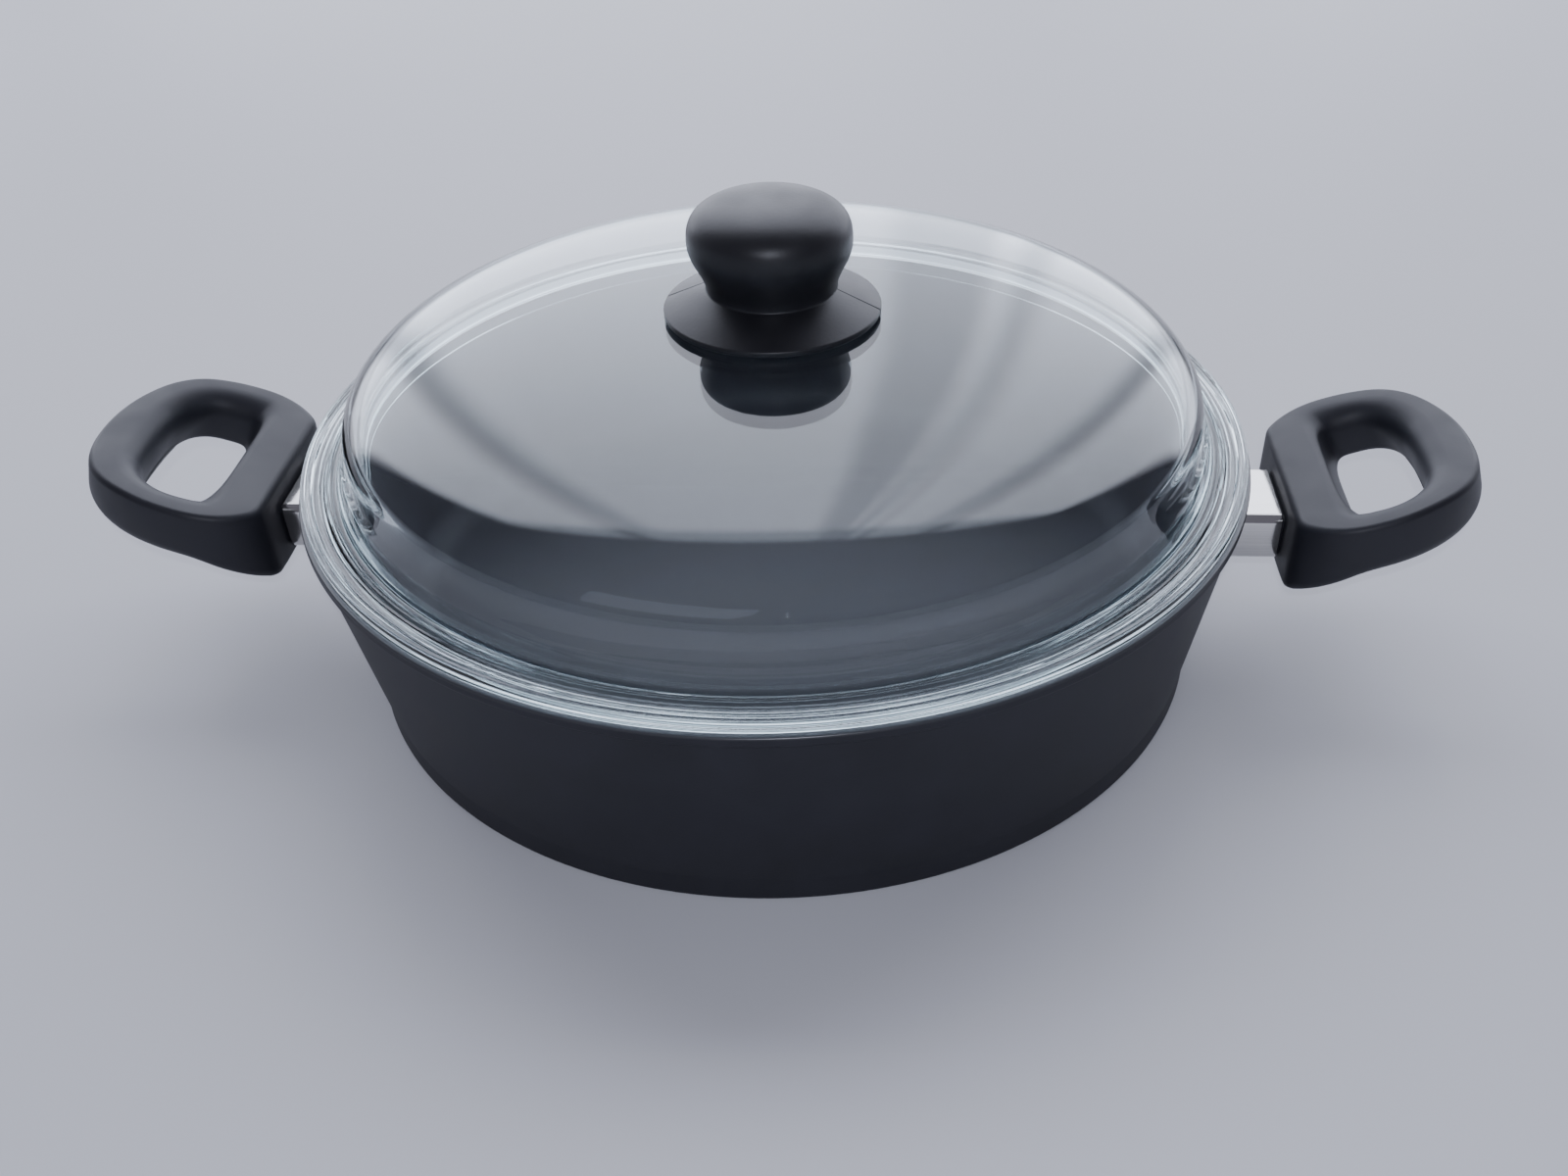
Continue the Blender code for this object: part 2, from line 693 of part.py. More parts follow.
def lid_knob(parts, lid):
    """The moulded knob: flange, neck and head in one, hollow round a boss for the insert."""
    crown = [
        (
            KNOB_RADIUS * math.sin(turn) ** (2 / KNOB_POWER),
            KNOB_BELLY + (KNOB_HEIGHT - KNOB_BELLY) * math.cos(turn) ** (2 / KNOB_POWER),
            0.0,
        )
        for turn in (QUARTER_TURN * step / CROWN_POINTS for step in range(CROWN_POINTS + 1))
    ]
    taper = [
        (
            NECK_RADIUS + (KNOB_RADIUS - NECK_RADIUS) * (1 - math.cos(math.pi * share)) / 2,
            NECK_FOOT + (KNOB_BELLY - NECK_FOOT) * share,
            0.0,
        )
        for share in (1 - step / TAPER_POINTS for step in range(1, TAPER_POINTS))
    ]
    boss_foot = BOSS_FOOT - KNOB_SEAT
    insert_top = boss_foot + INSERT_LENGTH + FIT_GAP
    hollow_top = KNOB_BELLY - KNOB_WALL
    neck_inside = NECK_RADIUS - KNOB_WALL
    corners = crown + taper + [
        (NECK_RADIUS, NECK_FOOT, NECK_FILLET),
        (FLANGE_RADIUS, FLANGE_THICKNESS, FLANGE_EDGE),
        (FLANGE_RADIUS, 0.0, FLANGE_EDGE),
        (FLANGE_RADIUS - KNOB_WALL, 0.0, 0.0),
        (neck_inside, NECK_FOOT - KNOB_WALL / 2, HOLLOW_ROUND),
        (neck_inside, hollow_top, HOLLOW_ROUND),
        (BOSS_RADIUS, hollow_top, HOLLOW_ROUND),
        (BOSS_RADIUS, boss_foot, BOSS_EDGE),
        (INSERT_RADIUS + FIT_GAP, boss_foot, 0.0),
        (INSERT_RADIUS + FIT_GAP, insert_top, 0.0),
        (0.0, insert_top, 0.0),
    ]
    look = material("knob_phenolic", (0.030, 0.028, 0.032), 0.30)
    obj = turned("lid_knob", corners, KNOB_STEPS, parts, look, lid)
    obj.location.z = KNOB_SEAT - PAN_HEIGHT
    return obj


def ring(name, inner, outer, low, high, edge, parts, lid, look):
    """A flat ring about the lid's axis, between two heights."""
    corners = [
        (inner, high, 0.0),
        (outer, high, edge),
        (outer, low, edge),
        (inner, low, 0.0),
    ]
    obj = turned(name, corners, SMALL_STEPS, parts, look, lid, closed=True)
    obj.location.z = -PAN_HEIGHT
    return obj


def knob_fittings(parts, lid):
    """What holds the knob on the glass, from the insert in its boss down to the screw."""
    brass = material("brass", (0.72, 0.55, 0.26), 0.30, 1.0)
    thread = KNOB_SCREW_RADIUS + FIT_GAP
    insert_top = BOSS_FOOT + INSERT_LENGTH
    ring("knob_insert", thread, INSERT_RADIUS, BOSS_FOOT, insert_top, 0.0, parts, lid, brass)
    rubber = material("seat_rubber", (0.03, 0.03, 0.03), 0.80)
    seat_top = KNOB_SEAT + SEAT_WASHER
    ring(
        "knob_seat_washer",
        thread,
        BOSS_RADIUS,
        KNOB_SEAT,
        seat_top,
        FITTING_EDGE,
        parts,
        lid,
        rubber,
    )
    bush = material("bush_silicone", (0.55, 0.55, 0.54), 0.60)
    collar_foot = COLLAR_TOP - BUSH_COLLAR
    corners = [
        (thread, GLASS_TOP, 0.0),
        (BUSH_RADIUS, GLASS_TOP, 0.0),
        (BUSH_RADIUS, COLLAR_TOP, 0.0),
        (BUSH_COLLAR_RADIUS, COLLAR_TOP, FITTING_EDGE),
        (BUSH_COLLAR_RADIUS, collar_foot, FITTING_EDGE),
        (thread, collar_foot, 0.0),
    ]
    obj = turned("glass_bush", corners, SMALL_STEPS, parts, bush, lid, closed=True)
    obj.location.z = -PAN_HEIGHT
    steel = material("fitting_steel", (0.62, 0.62, 0.62), 0.25, 1.0)
    cup_foot = CUP_WASHER_TOP - CUP_WASHER
    ring(
        "inner_washer",
        thread,
        CUP_WASHER_RADIUS,
        cup_foot,
        CUP_WASHER_TOP,
        FITTING_EDGE,
        parts,
        lid,
        steel,
    )


def knob_screw(parts, lid):
    """The screw that comes up through the glass into the knob."""
    tip = BOSS_FOOT + INSERT_LENGTH - KNOB_SCREW_SHORT
    head_foot = KNOB_SCREW_SEAT - KNOB_SCREW_HEAD_HEIGHT
    corners = [
        (0.0, tip, 0.0),
        (KNOB_SCREW_RADIUS, tip, KNOB_SCREW_TIP_EDGE),
        (KNOB_SCREW_RADIUS, KNOB_SCREW_SEAT, 0.0),
        (KNOB_SCREW_HEAD, KNOB_SCREW_SEAT, 0.0),
        (KNOB_SCREW_HEAD, head_foot, KNOB_SCREW_HEAD_EDGE),
        (0.0, head_foot, 0.0),
    ]
    look = material("knob_screw_steel", (0.62, 0.62, 0.62), 0.25, 1.0)
    obj = turned("knob_screw", corners, SMALL_STEPS, parts, look, lid)
    obj.location.z = -PAN_HEIGHT
    return obj


def frame_empty(name, collection, height=0.0, turn=0.0):
    """An empty that carries a group of pieces."""
    empty = bpy.data.objects.new(name, None)
    collection.objects.link(empty)
    empty.location.z = height
    empty.rotation_euler.z = turn
    return empty


def settle(parts):
    """Apply every piece's modifiers, and shade it smooth up to its sharp edges."""
    graph = bpy.context.evaluated_depsgraph_get()
    meshes = [
        bpy.data.meshes.new_from_object(obj.evaluated_get(graph)) for obj in parts.objects
    ]
    for obj, mesh in zip(parts.objects, meshes):
        obj.modifiers.clear()
        obj.data = mesh
        mesh.shade_smooth()
        mesh.set_sharp_from_angle(angle=SHARP_ANGLE)


def main():
    clear_scene()
    parts = new_collection("serving_pan")
    tools = new_collection("cutters")
    sides = {
        "right": frame_empty("right_side", tools),
        "left": frame_empty("left_side", tools, turn=math.pi),
    }
    lid = frame_empty("lid_axis", tools, height=PAN_HEIGHT)
    pan_body(parts, tools, sides)
    core = wall_cutter("guard_end_cutter", FIT_GAP, tools)
    for side, empty in sides.items():
        flame_guard(side, empty, parts, tools, core)
        handle(side, empty, parts, tools)
        handle_screw(side, empty, parts)
        screw_washer(side, empty, parts)
    lid_glass(parts, lid)
    lid_knob(parts, lid)
    knob_fittings(parts, lid)
    knob_screw(parts, lid)
    settle(parts)


main()
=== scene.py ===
"""Looks of the serving pan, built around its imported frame.

Every length is in metres, in the frame's own axes: the handles lie along X, Z is up, and the
origin is under the middle of the pan.
"""

import math

import bmesh
import bpy
from bpy.props import FloatProperty, FloatVectorProperty, IntProperty, PointerProperty
from mathutils import Matrix, Vector


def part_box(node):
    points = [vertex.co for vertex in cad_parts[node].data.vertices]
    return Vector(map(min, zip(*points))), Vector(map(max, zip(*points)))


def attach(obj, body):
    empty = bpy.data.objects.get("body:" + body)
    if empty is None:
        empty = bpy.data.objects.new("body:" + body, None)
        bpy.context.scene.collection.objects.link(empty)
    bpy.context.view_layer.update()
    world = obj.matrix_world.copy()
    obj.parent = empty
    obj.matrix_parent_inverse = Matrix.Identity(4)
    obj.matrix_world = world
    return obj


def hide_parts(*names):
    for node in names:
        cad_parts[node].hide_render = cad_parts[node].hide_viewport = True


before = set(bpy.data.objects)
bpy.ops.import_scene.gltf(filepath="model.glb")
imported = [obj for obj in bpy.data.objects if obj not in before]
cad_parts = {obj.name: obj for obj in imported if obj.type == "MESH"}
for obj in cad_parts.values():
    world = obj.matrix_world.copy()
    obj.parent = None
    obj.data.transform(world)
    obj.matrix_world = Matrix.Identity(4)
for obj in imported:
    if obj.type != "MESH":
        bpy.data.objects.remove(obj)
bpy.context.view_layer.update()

bl_info = {
    "name": "Serving Pan",
    "version": (1, 0, 0),
    "blender": (4, 5, 0),
    "location": "3D View > Sidebar > Serving Pan",
    "description": "Builds a serving pan with two loop handles and a domed glass lid",
    "category": "Add Mesh",
}

SIDES = {"right": 0, "left": math.pi}

FIT_GAP = 0.0003
CRISP_EDGE = 0.0001
FINE_EDGE = 0.0002
SMALL_EDGE = 0.0005
MERGE = 0.000001
ARC_STEP = math.radians(11)
SHARP_ANGLE = math.radians(32)
QUARTER_TURN = math.radians(90)
SMALL_STEPS = 64
SCREW_STEPS = 48

PAN_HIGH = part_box("pan_body")[1]
SLEEVE_LOW, SLEEVE_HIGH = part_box("right_flame_guard")
HANDLE_LOW, HANDLE_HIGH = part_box("right_handle")
BOLT_LOW, BOLT_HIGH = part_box("right_handle_screw")
BOLT_WASHER_LOW, BOLT_WASHER_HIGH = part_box("right_screw_washer")
GLASS_LOW, GLASS_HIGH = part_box("lid_glass")
KNOB_LOW, KNOB_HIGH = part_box("lid_knob")
INSERT_LOW, INSERT_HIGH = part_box("knob_insert")
SEAT_LOW, SEAT_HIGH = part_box("knob_seat_washer")
BUSH_LOW, BUSH_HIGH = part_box("glass_bush")
CUP_LOW, CUP_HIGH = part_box("inner_washer")
KNOB_SCREW_LOW, KNOB_SCREW_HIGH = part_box("knob_screw")
SLEEVE_MIDDLE = (SLEEVE_LOW.z + SLEEVE_HIGH.z) / 2
BOLT_MIDDLE = (BOLT_LOW.z + BOLT_HIGH.z) / 2
BOLT_HEAD_RADIUS = (BOLT_HIGH.z - BOLT_LOW.z) / 2


def value(kind, **settings):
    """A maker of values of one kind that a user may change."""

    def make(name, description, default, **more):
        return kind(name=name, description=description, default=default, **settings, **more)

    return make


number = value(FloatProperty)
amount = value(FloatProperty, min=0, subtype="FACTOR")
length = value(FloatProperty, precision=4, subtype="DISTANCE", unit="LENGTH")
angle = value(FloatProperty, subtype="ANGLE", unit="ROTATION")
count = value(IntProperty, min=1)
colour = value(FloatVectorProperty, min=0, max=1.0, subtype="COLOR")
place = value(FloatVectorProperty, subtype="TRANSLATION", unit="LENGTH")


class PanSizes(bpy.types.PropertyGroup):
    """Sizes of the cast pan."""

    rim_radius: length("Rim radius", "Outer radius of the rolled rim", PAN_HIGH.y)
    height: length("Height", "Height of the rim above the base", PAN_HIGH.z)
    base_radius: length("Base radius", "Outer radius of the upright foot band", 0.1333)
    foot_height: length("Foot height", "Height of the upright foot band", 0.008)
    wall: length("Wall", "Thickness of the wall", 0.004)
    floor: length("Floor", "Thickness of the floor", 0.008)
    floor_fillet: length("Floor fillet", "Radius between floor and wall", 0.012)
    base_edge: length("Base edge", "Radius of the base's outer edge", 0.0015)
    rim_overhang: length("Rim overhang", "Reach of the rim beyond the wall", 0.0016)
    rim_depth: length("Rim depth", "Depth of the rolled rim", 0.0038)
    rim_edge: length("Rim edge", "Radius of the rim's upper outer edge", 0.0007)
    rim_width: length("Rim width", "Width of the rim's top face", 0.006)
    steps: count("Steps", "Facets around the pan", 224)


class SleeveSizes(bpy.types.PropertyGroup):
    """Sizes of the steel sleeves between the pan and its handles."""

    corner: length("Corner", "Radius of the sleeve's long corners", 0.0028)
    sheet: length("Sheet", "Thickness of the sheet steel", 0.001)
    lug_clearance: length("Lug clearance", "Room around the cast lug", 0.0007)


class HandleSizes(bpy.types.PropertyGroup):
    """Sizes of the moulded loop handles, measured out from the face towards the pan."""

    loop_centre: length("Loop centre", "Middle of the outer outline", 0.0208)
    loop_ahead: length("Loop ahead", "Reach of the outline beyond its middle", 0.036)
    loop_behind: length("Loop behind", "Reach of the outline towards the pan", 0.0281)
    loop_power: amount("Loop squareness", "Power of the outer outline", 2.2, max=8.0)
    face_corner: length("Face corner", "Blend where the face meets the sides", 0.0018)
    face_lean: length("Face lean", "Lean of the face, foot to top", 0.0005)
    face_above: length("Face above", "Height of the face above the sleeve", 0.0044)
    face_below: length("Face below", "Depth of the face below the sleeve", 0.0071)
    tilt: angle("Tilt", "Tilt of the loop", math.radians(17.9))
    tilt_start: length("Tilt start", "Where the tilt begins", -0.0057)
    thickness: length("Thickness", "Height of the loop's section", 0.0182)
    rise: length("Rise", "Height that the loop's end gains", 0.0152)
    heel_slope: amount("Heel slope", "Slope of the heel's underside", 0.85, max=2.0)
    blend: length("Blend", "Rounding where two slopes meet", 0.0025)
    lean: length("Lean", "Lean of the loop's outer end", 0.0044)
    hole_centre: length("Hole centre", "Middle of the finger hole", 0.0225)
    hole_ahead: length("Hole ahead", "Reach of the hole beyond its middle", 0.0128)
    hole_behind: length("Hole behind", "Reach of the hole towards the pan", 0.0088)
    hole_side: length("Hole side", "Thickness of the loop beside the hole", 0.0129)
    hole_power_ahead: amount("Hole roundness", "Power of the outer half", 2.9, max=8.0)
    hole_power_behind: amount("Hole squareness", "Power of the inner half", 4.2, max=8.0)
    hole_lean: length("Hole lean", "Lean of the hole, top to foot", 0.0102)
    top_edge: length("Top edge", "Radius along the outer top edge", 0.0019)
    bar_edge: length("Bar edge", "Radius along the bar by the hole", 0.0025)
    funnel_edge: length("Funnel edge", "Radius of the hole's funnel mouth", 0.012)
    foot_edge: length("Foot edge", "Radius along the hole's foot", 0.002)
    heel_edge: length("Heel edge", "Radius along the heel's foot", 0.0085)
    loop_foot_edge: length("Loop foot edge", "Radius along the loop's foot", 0.0045)
    stations: count("Stations", "Sections around the loop", 132)
    arc_steps: count("Arc steps", "Facets across each rounded edge", 9)


class LidSizes(bpy.types.PropertyGroup):
    """Sizes of the pressed glass lid, measured up from its seat on the rim."""

    glass: length("Glass", "Thickness of the glass", 0.004)
    shoulder_radius: length("Shoulder radius", "Radius of the dome's shoulder", 0.129)
    shoulder_height: length("Shoulder height", "Height of the dome's shoulder", 0.0152)
    dome_height: length("Dome height", "Height of the dome's top", 0.042)
    dome_power: amount("Dome squareness", "Power of the dome's curve", 2.4, max=8.0)
    foot_radius: length("Foot radius", "Radius where dome and flange meet", 0.1331)
    lip_radius: length("Lip radius", "Radius of the lip inside the mouth", 0.137)
    lip_depth: length("Lip depth", "Depth of the lip below its seat", 0.005)
    lip_width: length("Lip width", "Width of the lip's foot", 0.0065)
    step_height: length("Step height", "Depth of the flange's groove", 0.0006)
    step_width: length("Step width", "Width of the flange's groove", 0.0035)
    rib_width: length("Rib width", "Width of the flange's fine ribs", 0.0006)
    rib_depth: length("Rib depth", "Depth of the flange's fine ribs", 0.0002)
    rest_width: length("Rest width", "Width of the ring that lies on the rim", 0.0028)
    edge: length("Edge", "Radius of the glass's upper outer edge", 0.0007)
    foot_edge: length("Foot edge", "Radius of the glass's lower outer edge", 0.0004)
    hole_radius: length("Hole radius", "Radius of the hole for the bush", 0.0047)
    steps: count("Steps", "Facets around the lid", 256)


class KnobSizes(bpy.types.PropertyGroup):
    """Sizes of the moulded knob, measured up from the glass."""

    radius: length("Radius", "Radius of the head", 0.024)
    belly: length("Belly", "Height at which the head is widest", 0.0211)
    power: amount("Squareness", "Power of the head's upper curve", 2.9, max=8.0)
    neck_radius: length("Neck radius", "Radius of the neck's foot", 0.0193)
    neck_foot: length("Neck foot", "Height of the neck's foot", 0.0072)
    flange: length("Flange", "Thickness of the flange's edge", 0.0016)
    wall: length("Wall", "Thickness of the moulding", 0.0038)
    boss_radius: length("Boss radius", "Radius of the boss inside", 0.0086)
    fillet: length("Fillet", "Radius of the corners in its hollow", 0.0015)
    seam_turn: angle("Seam turn", "Direction of the mould's parting line", math.radians(-7.0))
    seam_depth: length("Seam depth", "Depth of the parting line", 0.0003)
    steps: count("Steps", "Facets around the knob", 160)


class Finishes(bpy.types.PropertyGroup):
    """Colours of the pan's materials."""

    coat: colour("Non-stick coat", "Colour of the pan's coat", (0.0155, 0.016, 0.0225))
    # The rim colour is a painted highlight: a lighter tone on the rim's top edge that stands in for
    # the light it catches.
    rim: colour("Rim", "Colour of the burnished rim", (0.045, 0.046, 0.052))
    phenolic: colour("Handles", "Colour of the handles", (0.018, 0.0185, 0.025))
    knob: colour("Knob", "Colour of the knob", (0.013, 0.013, 0.016))
    steel: colour("Sleeves", "Colour of the polished steel", (0.8, 0.79, 0.77))
    zinc: colour("Fasteners", "Colour of the screws", (0.62, 0.62, 0.61))
    brass: colour("Insert", "Colour of the knob's insert", (0.72, 0.53, 0.24))
    silicone: colour("Bush", "Colour of the bush", (0.06, 0.06, 0.065))
    glass: colour("Glass", "Colour deep inside the glass", (0.2, 0.72, 0.85))
    glass_depth: amount("Glass depth", "How fast the glass takes colour", 18.0, max=200.0)
    floor: colour("Floor", "Colour of the studio floor", (0.7, 0.705, 0.73))


class StageSizes(bpy.types.PropertyGroup):
    """Where the camera and the lights stand."""

    focal_length: number("Focal length", "Lens in millimetres", 35.0)
    camera_place: place(
        "Camera place", "Where the camera stands", (0.04018, -0.42028, 0.30885)
    )
    camera_turn: angle("Camera turn", "Camera's direction, left of +Y", math.radians(2.114))
    camera_pitch: angle("Camera pitch", "Camera's angle below level", math.radians(39.749))
    camera_roll: angle("Camera roll", "Camera's roll", math.radians(-0.501))
    shift_across: number("Shift across", "Lens shift along the picture's width", -0.0484)
    shift_up: number("Shift up", "Lens shift along the picture's height", 0.0755)
    window_power: amount("Window power", "Power of the light behind", 124.0, max=500.0)
    fill_power: amount("Fill power", "Power of the light in front", 4.0, max=500.0)
    flash_power: amount("Flash power", "Power of the small camera light", 0.7, max=50.0)
    air: colour("Air", "Colour of the light all round", (0.66, 0.65, 0.8))
    air_strength: amount("Air strength", "Strength of that light", 0.22, max=10.0)


class ServingPan(bpy.types.PropertyGroup):
    """Everything that a user may change."""

    pan: PointerProperty(type=PanSizes)
    sleeve: PointerProperty(type=SleeveSizes)
    handle: PointerProperty(type=HandleSizes)
    lid: PointerProperty(type=LidSizes)
    knob: PointerProperty(type=KnobSizes)
    finish: PointerProperty(type=Finishes)
    stage: PointerProperty(type=StageSizes)


def soft_max(first, second, blend):
    """The larger value, with the crease between the two rounded over the blend length."""
    near = max(blend - abs(first - second), 0) / blend
    return max(first, second) + near * near * blend / 4


def soft_min(first, second, blend):
    """The smaller value, rounded in the same way."""
    return -soft_max(-first, -second, blend)


def rounded(corners, closed=False):
    """Points of an outline whose corners, each (across, up, radius), are rounded by arcs."""
    points = []
    last = len(corners) - 1
    for index, (across, up, radius) in enumerate(corners):
        here = Vector((across, up))
        if radius == 0 or (not closed and index in (0, last)):
            points.append(here)
            continue
        before = (Vector(corners[index - 1][:2]) - here).normalized()
        after = (Vector(corners[(index + 1) % len(corners)][:2]) - here).normalized()
        half = before.angle(after) / 2
        centre = here + (before + after).normalized() * radius / math.sin(half)
        start = here + before * radius / math.tan(half) - centre
        end = here + after * radius / math.tan(half) - centre
        first = math.atan2(start.y, start.x)
        turn = math.remainder(math.atan2(end.y, end.x) - first, math.tau)
        steps = max(2, math.ceil(abs(turn) / ARC_STEP))
        for at in (first + turn * step / steps for step in range(steps + 1)):
            points.append(centre + radius * Vector((math.cos(at), math.sin(at))))
    return points


def smooth_line(points, per_span):
    """A curve through the given points, with more points along each span."""
    ends = [points[0] * 2 - points[1], *points, points[-1] * 2 - points[-2]]
    line = []
    for before, start, end, after in zip(ends, ends[1:], ends[2:], ends[3:]):
        for step in range(per_span):
            t = step / per_span
            line.append(
                start
                + t * (end - before) / 2
                + t**2 * (2 * before - 5 * start + 4 * end - after) / 2
                + t**3 * (3 * start - before - 3 * end + after) / 2
            )
    line.append(points[-1])
    return line


def turned_mesh(name, points, steps, closed=False, seams=(), sunk=()):
    """A solid turned about Z from its profile, with a groove up it at each seam's turn.

    A groove is a third of a facet wide, and its bottom follows the sunk profile.
    """
    spokes = [(math.tau * step / steps, points) for step in range(steps)]
    half = math.tau / steps / 6
    for seam in seams:
        spokes = [s for s in spokes if abs(math.remainder(s[0] - seam, math.tau)) > 3 * half]
        for offset, profile in ((-3, points), (-1, sunk), (1, sunk), (3, points)):
            spokes.append(((seam + offset * half / 2) % math.tau, profile))
    spokes.sort(key=lambda spoke: spoke[0])
    bm = bmesh.new()
    rings = []
    for turn, profile in spokes:
        cosine = math.cos(turn)
        sine = math.sin(turn)
        rings.append([bm.verts.new((p.x * cosine, p.x * sine, p.y)) for p in profile])
    spans = len(points) if closed else len(points) - 1
    for ring, beside in zip(rings, rings[1:] + rings[:1]):
        for index in range(spans):
            below = (index + 1) % len(points)
            bm.faces.new([ring[index], ring[below], beside[below], beside[index]])
    return finished_mesh(bm, name)


def turned(name, corners, steps, closed=False):
    """A piece turned about Z from the corners of its profile."""
    return new_object(name, turned_mesh(name, rounded(corners, closed), steps, closed))


def cone(name, foot, top, foot_radius, top_radius, steps):
    """A cone's trunk or a round bar about Z."""
    corners = [(0, top, 0), (top_radius, top, 0), (foot_radius, foot, 0), (0, foot, 0)]
    return turned(name, corners, steps)


def flat_ring(name, bore, radius, low, high, edge, bore_edge, steps):
    """A flat ring about Z."""
    inner = [(bore, low, bore_edge), (bore, high, bore_edge)]
    return turned(name, [*inner, (radius, high, edge), (radius, low, edge)], steps, True)


def bridge(bm, ring, beside):
    """Faces between two closed rings of points."""
    for index, corner in enumerate(ring):
        near = (index + 1) % len(ring)
        bm.faces.new([corner, ring[near], beside[near], beside[index]])


def finished_mesh(bm, name):
    """The mesh of a bmesh, shaded smooth up to its sharp edges."""
    bmesh.ops.remove_doubles(bm, verts=bm.verts, dist=MERGE)
    bmesh.ops.recalc_face_normals(bm, faces=bm.faces)
    mesh = bpy.data.meshes.new(name)
    bm.to_mesh(mesh)
    bm.free()
    shade(mesh)
    return mesh


def shade(mesh):
    """Shade a mesh smooth up to its sharp edges."""
    mesh.shade_smooth()
    mesh.set_sharp_from_angle(angle=SHARP_ANGLE)


def new_object(name, mesh):
    """An object in the scene."""
    obj = bpy.data.objects.new(name, mesh)
    bpy.context.scene.collection.objects.link(obj)
    return obj


def carve(obj, tool, operation):
    """Cut or join a tool object into another, which keeps the result. The tool is removed."""
    modifier = obj.modifiers.new("carve", "BOOLEAN")
    modifier.operation = operation
    modifier.solver = "EXACT"
    modifier.object = tool
    graph = bpy.context.evaluated_depsgraph_get()
    mesh = bpy.data.meshes.new_from_object(obj.evaluated_get(graph))
    obj.modifiers.clear()
    obj.data = mesh
    shade(mesh)
    bpy.data.objects.remove(tool, do_unlink=True)


def sleeve_plug(name, sleeve, gap, start, end):
    """A bar along X, its edges rounded, that fills a sleeve but for a gap."""
    half_width = SLEEVE_HIGH.y - sleeve.sheet - gap
    half_height = (SLEEVE_HIGH.z - SLEEVE_LOW.z) / 2 - sleeve.sheet - gap
    low = Vector((start, -half_width, SLEEVE_MIDDLE - half_height))
    high = Vector((end, half_width, SLEEVE_MIDDLE + half_height))
    bm = bmesh.new()
    bmesh.ops.create_cube(bm, size=1.0)
    bmesh.ops.scale(bm, vec=high - low, verts=bm.verts)
    bmesh.ops.translate(bm, vec=(high + low) / 2, verts=bm.verts)
    bmesh.ops.bevel(bm, geom=bm.edges, offset=0.001, segments=3, profile=0.5, affect="EDGES")
    return new_object(name, finished_mesh(bm, name))


def bolt_way(name, start, end, radius):
    """A round bar along X, on the axis of the handle's screw."""
    bar = cone(name, start, end, radius, radius, 40)
    bar.data.transform(along_x(BOLT_MIDDLE))
    return bar


def along_x(height):
    """Turns a piece that was turned about Z so that its top points along X."""
    return lift(height) @ Matrix.Rotation(QUARTER_TURN, 4, "Y")


def lift(height):
    """Moves a piece up."""
    return Matrix.Translation((0, 0, height))


def about_z(turn):
    """Turns a piece about Z."""
    return Matrix.Rotation(turn, 4, "Z")


def add_piece(obj, body, finish, node):
    """Give a finished piece its material and its body, and hide the CAD node that it stands for."""
    obj.data.materials.clear()
    obj.data.materials.append(finish)
    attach(obj, body)
    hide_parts(node)


class Nodes:
    """A node tree under construction."""

    def __init__(self, tree):
        self.tree = tree

    def feed(self, node, sources):
        """Link each source that is a socket into the node, and set the others on it."""
        for name, source in sources.items():
            socket = node.inputs[name]
            if isinstance(source, bpy.types.NodeSocket):
                self.tree.links.new(source, socket)
            else:
                socket.default_value = (*source, 1.0) if socket.type == "RGBA" else source

    def add(self, kind, output, sources, **settings):
        """An output of a new node."""
        node = self.tree.nodes.new(f"ShaderNode{kind}")
        for name, value in settings.items():
            setattr(node, name, value)
        self.feed(node, sources)
        return node.outputs[output]


